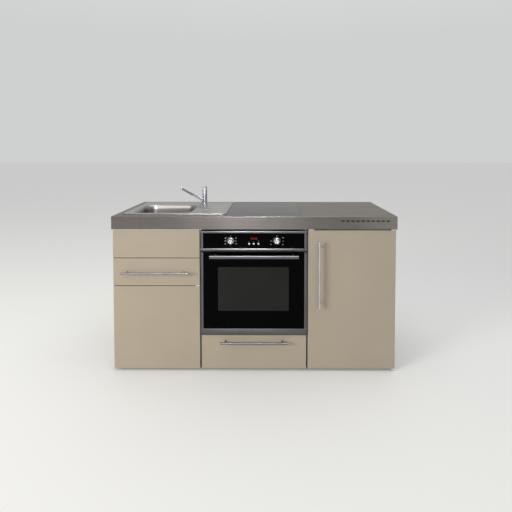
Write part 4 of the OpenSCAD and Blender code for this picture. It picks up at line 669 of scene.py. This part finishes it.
# segments of a digit, each from one corner of its box to another, corners counted in half heights
digitSegments = {"a": ((0, 2), (1, 2)), "b": ((1, 2), (1, 1)), "c": ((1, 1), (1, 0)), "d": ((0, 0), (1, 0)),
                 "e": ((0, 1), (0, 0)), "f": ((0, 2), (0, 1)), "g": ((0, 1), (1, 1))}
digitForms = {"1": "bc", "2": "abged", "3": "abgcd", "0": "abcdef"}
displayLook = {"size": (40 * mm, 12.5 * mm), "radius": 1.5 * mm, "level": 756.6 * mm, "proud": 0.1 * mm,
               "digits": "1230", "digitSize": (4.4 * mm, 4 * mm), "pitch": 8.6 * mm, "split": 1.2 * mm,
               "stroke": 1.1 * mm, "gap": 0.44 * mm, "dotRise": 2 * mm, "dotRadius": 0.7 * mm}


def makeDisplay():
    look = displayLook
    low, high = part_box("control_glass")
    middleX = (low.x + high.x) / 2
    front = low.y - look["proud"]
    lens = bmesh.new()
    facePlate(lens, (middleX, look["level"]), look["size"], look["radius"], front, look["proud"])
    addPiece(finishMesh("displayLens", lens), "cabinet", displayLens)
    lit = bmesh.new()
    wide, half = look["digitSize"]
    for number, digit in enumerate(look["digits"]):
        place = number - (len(look["digits"]) - 1) / 2
        left = middleX + place * look["pitch"] + math.copysign(look["split"], place) - wide / 2
        for segment in digitForms[digit]:
            start, end = [Vector((left + x * wide, look["level"] - half + z * half))
                          for x, z in digitSegments[segment]]
            inward = (end - start).normalized() * look["gap"]
            printStroke(lit, start + inward, end - inward, look["stroke"], front)
    for side in (-1, 1):
        printDisc(lit, (middleX, look["level"] + side * look["dotRise"]), look["dotRadius"], front)
    addPiece(finishMesh("displayDigits", lit), "cabinet", litSegments)


# plain cooking signs as strokes in millimetres: a box with its heat drawn where it comes from
boxSign = [((-3, -2.5), (3, -2.5)), ((3, -2.5), (3, 2.5)), ((3, 2.5), (-3, 2.5)), ((-3, 2.5), (-3, -2.5))]
topHeat = [((-1.8, 1.2), (1.8, 1.2))]
lowHeat = [((-1.8, -1.2), (1.8, -1.2))]
grillHeat = [((-2, 1.4), (-1, 0.4)), ((-1, 0.4), (0, 1.4)), ((0, 1.4), (1, 0.4)), ((1, 0.4), (2, 1.4))]
fanHeat = [((-1.2, -1.2), (1.2, 1.2)), ((-1.2, 1.2), (1.2, -1.2))]
functionSigns = [boxSign + topHeat + lowHeat, boxSign + lowHeat, boxSign + topHeat, boxSign + grillHeat,
                 boxSign + fanHeat, boxSign + grillHeat + fanHeat]
buttonSigns = [[((-1.8, 0), (1.8, 0))],
               [((0, -0.2), (0, 1.6)), ((0, -0.2), (1.2, -0.2))],
               [((-1.8, 0), (1.8, 0)), ((0, -1.8), (0, 1.8))]]
# numbers stand (across, up) from their knob's middle, in millimetres
printLook = {"signReach": 29 * mm, "signRise": 16 * mm, "stroke": 0.7 * mm, "dotReach": 27.55 * mm,
             "dots": [(1, 1.4 * mm), (-1, 1.2 * mm)], "tickRadius": 21 * mm, "ticks": 22, "tickStart": -45,
             "tickSweep": 270, "tick": (2.4 * mm, 0.7 * mm, 0.15 * mm), "tickRise": 0.05 * mm,
             "buttonSignRise": 13 * mm, "numberHeight": 5.5 * mm, "numberThick": 0.06 * mm, "curveSteps": 2,
             "numbers": {"50": (-33, -19), "100": (-33, 0), "150": (0, 27), "200": (34, 18), "250": (34, -1),
                         "300": (34, -20)}}
upright = Matrix.Rotation(math.pi / 2, 4, "X")   # stands up what was drawn flat, so that it looks towards -Y


def numberMesh(text, middle, front):
    # a plain number in the default face, as a thin mesh that looks towards -Y
    curve = bpy.data.curves.new("number" + text, "FONT")
    curve.body = text
    curve.size = printLook["numberHeight"]
    curve.align_x = "CENTER"
    curve.align_y = "CENTER"
    curve.extrude = printLook["numberThick"]
    curve.resolution_u = printLook["curveSteps"]
    mesh = takeMesh(placeObject("number" + text, curve))
    mesh.transform(Matrix.Translation((middle[0], front - printLook["numberThick"], middle[1])) @ upright)
    return mesh


def frontMiddle(node):
    # the middle of a node's front, in X and Z
    low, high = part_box(node)
    return (low.x + high.x) / 2, (low.z + high.z) / 2


def drawSign(shape, sign, middle, front):
    for stroke in sign:
        start, end = [(middle[0] + x * mm, middle[1] + z * mm) for x, z in stroke]
        printStroke(shape, start, end, printLook["stroke"], front)


def makeControlPrints():
    look = printLook
    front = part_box("control_glass")[0].y
    shape = bmesh.new()
    knobMiddles = [frontMiddle("function_knob"), frontMiddle("temperature_knob")]
    knobX, knobZ = knobMiddles[0]
    for number, sign in enumerate(functionSigns):
        side, row = (-1 if number < 3 else 1), 1 - number % 3
        drawSign(shape, sign, (knobX + side * look["signReach"], knobZ + row * look["signRise"]), front)
    for way, radius in look["dots"]:
        printDisc(shape, (knobX, knobZ + way * look["dotReach"]), radius, front)
    for node, sign in zip(("button_left", "button_middle", "button_right"), buttonSigns):
        x, z = frontMiddle(node)
        drawSign(shape, sign, (x, z + look["buttonSignRise"]), front)
    knobX, knobZ = knobMiddles[1]
    for text, (across, up) in look["numbers"].items():
        shape.from_mesh(numberMesh(text, (knobX + across * mm, knobZ + up * mm), front))
    for knobX, knobZ in knobMiddles:
        ticks = growMesh("dialTicks", barsRoundArc, {
            "Count": look["ticks"], "Radius": look["tickRadius"], "Start": math.radians(look["tickStart"]),
            "Sweep": math.radians(look["tickSweep"]), "Bar": look["tick"], "Finish": printInk})
        ticks.transform(Matrix.Translation((knobX, front - look["tickRise"], knobZ)) @ upright)
        shape.from_mesh(ticks)
    addPiece(finishMesh("controlPrints", shape), "cabinet", printInk)


# in millimetres: skirt is (radius, height over the panel), grip (radius, depth under the front end)
knobLook = {"clear": 0.4 * mm, "short": 1 * mm,
            "skirt": [(0, 0), (17, 0), (17, 1.6), (16, 2.6), (14.2, 4.2), (13.2, 6)],
            "grip": [(13, 2.6), (12.5, 1), (11.4, 0.2), (10.4, 0), (9.4, 0.3), (7, 1.1), (0, 1.5)],
            "turnSteps": 64, "ribs": 36, "ribRadius": 13 * mm, "rib": (1.2 * mm, 0.9 * mm, 13 * mm),
            "ribShift": 1 * mm, "pointer": (1.6 * mm, 9 * mm), "pointerRise": 0.62, "pointerRound": 0.45,
            "pointerProud": 0.1 * mm, "pointerDepth": 1.2 * mm}


def makeKnob(node):
    # a turned and plated knob: flat skirt, ribbed grip, hollowed end and a black pointer line
    look = knobLook
    x, z = frontMiddle(node)
    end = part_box(node)[0].y + look["short"]
    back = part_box("control_glass")[0].y - look["clear"]
    section = [(radius, back - out) for radius, out in inMetres(look["skirt"])]
    section += [(radius, end + depth) for radius, depth in inMetres(look["grip"])]
    shape = bmesh.new()
    skinLoops(shape, turnedLoops(section, (x, 0, z), (0, 1, 0), look["turnSteps"]))
    ribs = growMesh("gripRibs", barsRoundArc, {
        "Count": look["ribs"], "Radius": look["ribRadius"], "Start": 0.0,
        "Sweep": 2 * math.pi * (1 - 1 / look["ribs"]), "Bar": look["rib"], "Finish": chromePlate})
    ribs.transform(Matrix.Translation((x, (back + end) / 2 - look["ribShift"], z)) @ upright)
    shape.from_mesh(ribs)
    addPiece(finishMesh(node + "Turned", shape), node, chromePlate, [node])
    line = bmesh.new()
    wide, tall = look["pointer"]
    facePlate(line, (x, z + tall * look["pointerRise"]), (wide, tall), wide * look["pointerRound"],
              end - look["pointerProud"], look["pointerDepth"], arcSteps=4)
    addPiece(finishMesh(node + "Pointer", line), node, blackAbs)


makeOvenTrims()
makeOvenHandle()
makeOvenWindow()
makeDisplay()
makeControlPrints()
for knob in ("function_knob", "temperature_knob"):
    makeKnob(knob)
print("oven front")


def addPlate(name, finish, places, radius, front, depth):
    # one or more rounded plates in one piece; places are (left, right, bottom, top) in millimetres
    shape = bmesh.new()
    for left, right, bottom, top in places:
        facePlate(shape, ((left + right) / 2 * mm, (bottom + top) / 2 * mm),
                  ((right - left) * mm, (top - bottom) * mm), radius, front, depth, arcSteps=4)
    addPiece(finishMesh(name, shape), "cabinet", finish)


# small parts in and round the gaps of the fronts; behind is measured from the drawer's front
stripLooks = {
    # pale edging above the fixed front, a light line under the worktop: a real edge, set forward and made
    # pale as a painted highlight
    "fasciaEdgingHighlight": {"slot": "carcass_board", "finish": edgeBandAndHighlight, "radius": 0.8 * mm, "behind": 0.2 * mm,
                     "depth": 1.7 * mm, "places": [(-790, -306, 802.3, 807.6)]},
    # caps on the hinge plates and the door's stop
    "hingeCaps": {"slot": "foot_plastic", "finish": bushPlastic, "radius": 1.2 * mm, "behind": -0.4 * mm,
                  "depth": 1.3 * mm, "places": [(306, 336, 802.4, 807.6), (768, 793, 802.4, 807.6),
                                                (-329, -307, 485.3, 488.7), (776, 793, 9, 13.6)]},
    # black strips beside the oven, narrow where the drawer passes: painted shade that makes these gaps read
    # dark
    "ovenSideShadeStrips": {"slot": "seal_rubber", "finish": siliconeSeal, "radius": 0.6 * mm, "behind": 1.5 * mm,
                      "depth": 12 * mm, "places": [(-305, -300.2, 15, 499), (-301.6, -300.2, 499.2, 595),
                                                   (-305, -300.2, 595.2, 800), (296.3, 301.4, 15, 800)]},
    # black strips behind the gaps between the fronts: painted shade that makes these gaps read dark
    "gapShadeStrips": {"slot": "seal_rubber", "finish": siliconeSeal, "radius": 1 * mm, "behind": 4 * mm,
                 "depth": 10 * mm, "places": [(-790, -309, 643.4, 646.6), (-790, -334, 485.4, 488.6)]},
}


def makeStrips():
    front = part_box("drawer_front")[0].y
    for name, look in stripLooks.items():
        addPlate(name, look["finish"], look["places"], look["radius"], front + look["behind"],
                 look["depth"])


# in millimetres: section is (growth of the slot's outline, distance behind the face), shade its four sides
ventLook = {"count": 10, "pitch": 28 * mm, "fromRight": 52 * mm, "fromTop": 25 * mm,
            "slot": (17.8 * mm, 5.8 * mm), "endRound": 0.48, "arcSteps": 5,
            "section": [(0, 1.4), (0, 0), (1.3, 0), (1.3, -0.4), (-0.5, -0.4), (-0.5, 1.4), (0, 1.4)],
            "shade": (484, 760, 848, 862), "shadeRound": 2 * mm, "shadeBehind": 1.7 * mm,
            "shadeThick": 1 * mm}


def makeVents():
    # a black sleeve with a thin flange in every slot of the worktop's edge, and a black sheet behind them
    # all: painted shade, so that every slot reads as a dark hole
    look = ventLook
    low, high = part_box("worktop")
    wide, tall = look["slot"]
    shape = bmesh.new()
    for slot in range(look["count"]):
        middle = (high.x - look["fromRight"] - slot * look["pitch"], high.z - look["fromTop"])
        loops = []
        for grown, behind in inMetres(look["section"], low.y):
            size = (wide + 2 * grown, tall + 2 * grown)
            loops.append(uprightLoop(middle, size, size[1] * look["endRound"], behind, look["arcSteps"]))
        skinLoops(shape, loops)
    addPiece(finishMesh("ventShadeSleeves", shape), "cabinet", blackAbs)
    addPlate("ventShade", blackAbs, [look["shade"]], look["shadeRound"],
             low.y + look["shadeBehind"], look["shadeThick"])


# in millimetres: zones are (x, y, radius), controls stand at their x
hobLook = {"zones": [(-140, -95, 74), (-135, 135, 92), (140, 120, 105), (140, -105, 74)], "ring": 1.2 * mm,
           "ringSteps": 96, "zoneMark": 5 * mm, "controls": [-60, -36, -12, 12, 36, 60],
           "controlsY": -196 * mm, "controlMark": 3.4 * mm, "stroke": 0.9 * mm, "depth": 0.1 * mm}


def makeHobPrints():
    # zone rings and touch marks, printed in a grey that hardly shows
    look = hobLook
    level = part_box("hob_glass")[1].z
    shape = bmesh.new()

    def mark(x, y, reach, ways):
        for across, along in ways:
            printStroke(shape, (x - reach * across, y - reach * along),
                        (x + reach * across, y + reach * along), look["stroke"], -level, look["depth"])

    for x, y, radius in look["zones"]:
        outer, inner = radius * mm, radius * mm - look["ring"]
        rings = [(outer, 0), (outer, look["depth"]), (inner, look["depth"]), (inner, 0), (outer, 0)]
        skinLoops(shape, turnedLoops(rings, (x * mm, -level, y * mm), (0, -1, 0), look["ringSteps"]))
        mark(x * mm, y * mm, look["zoneMark"], [(1, 0), (0, 1)])
    for number, x in enumerate(look["controls"]):
        ways = [(1, 0), (0, 1)] if number % 2 else [(1, 0)]
        mark(x * mm, look["controlsY"], look["controlMark"], ways)
    mesh = finishMesh("hobPrints", shape)
    mesh.transform(Matrix.Rotation(-math.pi / 2, 4, "X"))
    addPiece(mesh, "cabinet", hobInk)


# board is the divider between two back panels, and fridgeBack the corners in X and Z of the case's back plate
screwLook = {"radius": 4 * mm, "height": 1.6 * mm, "cross": (5 * mm, 1 * mm, 2 * mm),
             "crossRise": (0, 0, 1.2 * mm), "pitch": 150 * mm, "inset": 8 * mm, "board": 16 * mm,
             "fridgeBack": ((304 * mm, 300 * mm), (774 * mm, 798 * mm))}


def panelEdge(low, high, face):
    # places along the edges of a panel that looks along +Y, given by its corners in X and Z
    inset, pitch = screwLook["inset"], screwLook["pitch"]
    level = face + screwLook["height"] / 2
    width, height = high[0] - low[0], high[1] - low[1]
    places = []
    rows, columns = [max(2, round(length / pitch)) for length in (height, width)]
    for step in range(rows + 1):
        z = low[1] + inset + (height - 2 * inset) * step / rows
        places += [(x, level, z) for x in (low[0] + inset, high[0] - inset)]
    for step in range(1, columns):
        x = low[0] + inset + (width - 2 * inset) * step / columns
        places += [(x, level, z) for z in (low[1] + inset, high[1] - inset)]
    return places


def makePanelScrews():
    look = screwLook
    low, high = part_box("back_panels")
    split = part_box("dividers")[0].x
    places = panelEdge((low.x, low.z), (split, high.z), high.y)
    places += panelEdge((split + look["board"], low.z), (high.x, high.z), high.y)
    places += panelEdge(*look["fridgeBack"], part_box("fridge_case")[1].y)
    mesh = growMesh("panelScrews", screwHeads, {
        "Head Radius": look["radius"], "Head Height": look["height"], "Cross": look["cross"],
        "Cross Rise": look["crossRise"], "Finish": zincSheet}, places, [(0, 1, 0)] * len(places))
    addPiece(mesh, "cabinet", zincSheet)


condenserLook = {"inset": 64 * mm, "foot": 213 * mm, "head": 5 * mm, "count": 34, "radius": 0.7 * mm,
                 "tubeWidth": 5 * mm}


def makeCondenserWires():
    # thin upright wires, tacked to both faces of the condenser's tubes
    look = condenserLook
    low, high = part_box("cooling_circuit")
    left, right = low.x + look["inset"], high.x - look["inset"]
    bottom, top = low.z + look["foot"], high.z - look["head"]
    shape = bmesh.new()
    for level in (high.y + look["radius"], high.y - look["tubeWidth"] - look["radius"]):
        row = growMesh("wires", wireRow, {
            "Count": look["count"], "Step": ((right - left) / (look["count"] - 1), 0, 0),
            "Radius": look["radius"], "Length": top - bottom, "Finish": blackPaint})
        row.transform(Matrix.Translation((left, level, (bottom + top) / 2)))
        shape.from_mesh(row)
    addPiece(finishMesh("condenserWires", shape), "cabinet", blackPaint)


ovenLampLook = {"fromCover": 62 * mm, "overCover": 30 * mm,
                "section": [(0, 0), (24, 0), (24, 2), (21, 2.2), (20.4, 3.4), (17.4, 5), (16.8, 6),
                            (12.6, 7.4), (12, 8.2), (6.4, 9), (5.8, 9.6), (0, 10)]}


def makeOvenLamp():
    # stepped glass cap of the oven's lamp, on the back wall above and beside the fan
    look = ovenLampLook
    low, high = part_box("fan_cover")
    spot = (low.x - look["fromCover"], high.y, high.z + look["overCover"])
    shape = bmesh.new()
    skinLoops(shape, turnedLoops(inMetres(look["section"]), spot, (0, -1, 0)))
    addPiece(finishMesh("ovenLampGlass", shape, sharpDegrees=30), "cabinet", lampGlass)


makeStrips()
makeVents()
makeCondenserWires()
makeOvenLamp()
makeHobPrints()
makePanelScrews()
print("strips, vents, wires, lamp glass, hob prints and screws")


floorLook = {"size": 60.0, "low": "b0b0ae", "high": "b5b5b3", "patternMm": 600, "seen": "d4d4d2",
             "glow": 0.14}


def seenDirectly(tree):
    # 1 for what the camera sees, also by way of metal and glass, and 0 for light that falls on the unit
    path = addNode(tree, "ShaderNodeLightPath").outputs
    straight = addNode(tree, "ShaderNodeMath", {"operation": "MAXIMUM"},
                       {0: path["Is Camera Ray"], 1: path["Is Glossy Ray"]})
    return addNode(tree, "ShaderNodeMath", {"operation": "MAXIMUM"},
                   {0: straight.outputs[0], 1: path["Is Transmission Ray"]}).outputs[0]


def makeFloor():
    bpy.ops.mesh.primitive_plane_add(size=floorLook["size"])
    floor = bpy.context.object
    floor.name = "floor"
    # painted floor, matt: pale to the eye, and a calmer grey in the light that it throws on the unit
    material = mottled("paleFloor", {"Roughness": 0.75}, floorLook["low"], floorLook["high"],
                       floorLook["patternMm"])
    tree = material.node_tree
    shader = tree.nodes["Principled BSDF"]
    tone = shader.inputs["Base Color"].links[0].from_socket
    seen = addNode(tree, "ShaderNodeMix", {"data_type": "RGBA", 7: linear(floorLook["seen"])},
                   {0: seenDirectly(tree), 6: tone})
    tree.links.new(seen.outputs[2], shader.inputs["Base Color"])
    # a share of its own light, for the view alone, keeps the floor pale far from the lamps
    shader.inputs["Emission Color"].default_value = linear(floorLook["seen"])
    glow = addNode(tree, "ShaderNodeMath", {"operation": "MULTIPLY", 1: floorLook["glow"]},
                   {0: seenDirectly(tree)})
    tree.links.new(glow.outputs[0], shader.inputs["Emission Strength"])
    floor.data.materials.append(material)


# a span is the axis of the look and its values where a share goes from 0 to 1
roomLook = {"wallSide": "cfd0d0", "cameraSide": "707377", "right": "54575b", "above": "f2f3f4",
            "spans": {"depth": ("Y", -0.9, 0.5), "across": ("X", 0.0, 0.9), "near": ("Y", 0.2, -0.5),
                      "height": ("Z", 0.25, 0.9)}}


def makeWorld():
    # a pale room: lightest behind and above the unit, calmer on the camera's side and darkest to its right
    world = bpy.data.worlds.new("paleRoom")
    bpy.context.scene.world = world
    world.use_nodes = True
    tree = world.node_tree
    towards = addNode(tree, "ShaderNodeTexCoord").outputs["Generated"]
    parts = addNode(tree, "ShaderNodeSeparateXYZ", links={"Vector": towards}).outputs
    shares = {}
    for name, (axis, start, end) in roomLook["spans"].items():
        shares[name] = addNode(tree, "ShaderNodeMapRange", {"From Min": start, "From Max": end},
                               {"Value": parts[axis]}).outputs["Result"]
    walls = addNode(tree, "ShaderNodeValToRGB", links={"Fac": shares["depth"]},
                    ramp=[(0.0, linear(roomLook["cameraSide"])), (1.0, linear(roomLook["wallSide"]))])
    beside = addNode(tree, "ShaderNodeMath", {"operation": "MULTIPLY"},
                     {0: shares["across"], 1: shares["near"]})
    sided = addNode(tree, "ShaderNodeMix", {"data_type": "RGBA", 7: linear(roomLook["right"])},
                    {0: beside.outputs[0], 6: walls.outputs["Color"]})
    mixed = addNode(tree, "ShaderNodeMix", {"data_type": "RGBA", 7: linear(roomLook["above"])},
                    {0: shares["height"], 6: sided.outputs[2]})
    tree.links.new(mixed.outputs[2], tree.nodes["Background"].inputs["Color"])


# lights says whether a lamp lights the colours, mirrored whether the metal and glass show it
lamps = [
    {"name": "windowLight", "place": (-5.0, -4.1, 2.0), "aim": (0, 0, 0.5), "size": (2.4, 2.4), "watts": 325,
     "colour": "fffaf2", "lights": True, "mirrored": False},
    {"name": "streakLight", "place": (-0.44, -4.0, 1.3), "aim": (-0.1, -0.277, 0.84), "size": (0.3, 2.0),
     "watts": 9.5, "colour": "f2ecff", "lights": False, "mirrored": True},
    {"name": "bowlLight", "place": (-2.0, -5.5, 3.4), "aim": (-0.55, 0, 0.86), "size": (2.6, 1.4),
     "watts": 30, "colour": "fff4f2", "lights": False, "mirrored": True},
    {"name": "trimLight", "place": (-0.2, -4.0, 3.0), "aim": (0, -0.277, 0.7), "size": (0.6, 0.6),
     "watts": 125, "colour": "ffffff", "lights": False, "mirrored": True},
    {"name": "rightLight", "place": (2.1, -4.0, 1.3), "aim": (0.7, -0.277, 0.84), "size": (0.5, 2.0),
     "watts": 9, "colour": "ffffff", "lights": True, "mirrored": True},
    {"name": "ceilingLight", "place": (0.6, -0.4, 3.4), "aim": (0.2, 0, 0.5), "size": (2.0, 2.0),
     "watts": 25, "colour": "ffffff", "lights": True, "mirrored": True},
]


def makeLamps():
    for lamp in lamps:
        light = bpy.data.lights.new(lamp["name"], "AREA")
        light.shape = "RECTANGLE"
        light.size, light.size_y = lamp["size"]
        light.energy = lamp["watts"]
        light.color = linear(lamp["colour"])[:3]
        holder = placeObject(lamp["name"], light)
        holder.location = lamp["place"]
        holder.visible_camera = False
        holder.visible_diffuse = lamp["lights"]
        holder.visible_glossy = lamp["mirrored"]
        aim = Vector(lamp["aim"]) - Vector(lamp["place"])
        holder.rotation_euler = aim.to_track_quat("-Z", "Y").to_euler()


cameraLook = {"place": (0.0809, -2.494, 1.266), "pitch": -0.0361, "yaw": 0.005, "lens": 28.1,
              "shift": (-0.0207, -0.184)}


def makeCamera():
    data = bpy.data.cameras.new("photoView")
    data.lens = cameraLook["lens"]
    data.shift_x, data.shift_y = cameraLook["shift"]
    camera = placeObject("photoView", data)
    camera.location = cameraLook["place"]
    camera.rotation_euler = (math.pi / 2 + cameraLook["pitch"], 0, cameraLook["yaw"])
    bpy.context.scene.camera = camera


makeFloor()
makeWorld()
makeLamps()
makeCamera()
bpy.context.scene.view_settings.view_transform = "Standard"
print("stage, lamps and camera")
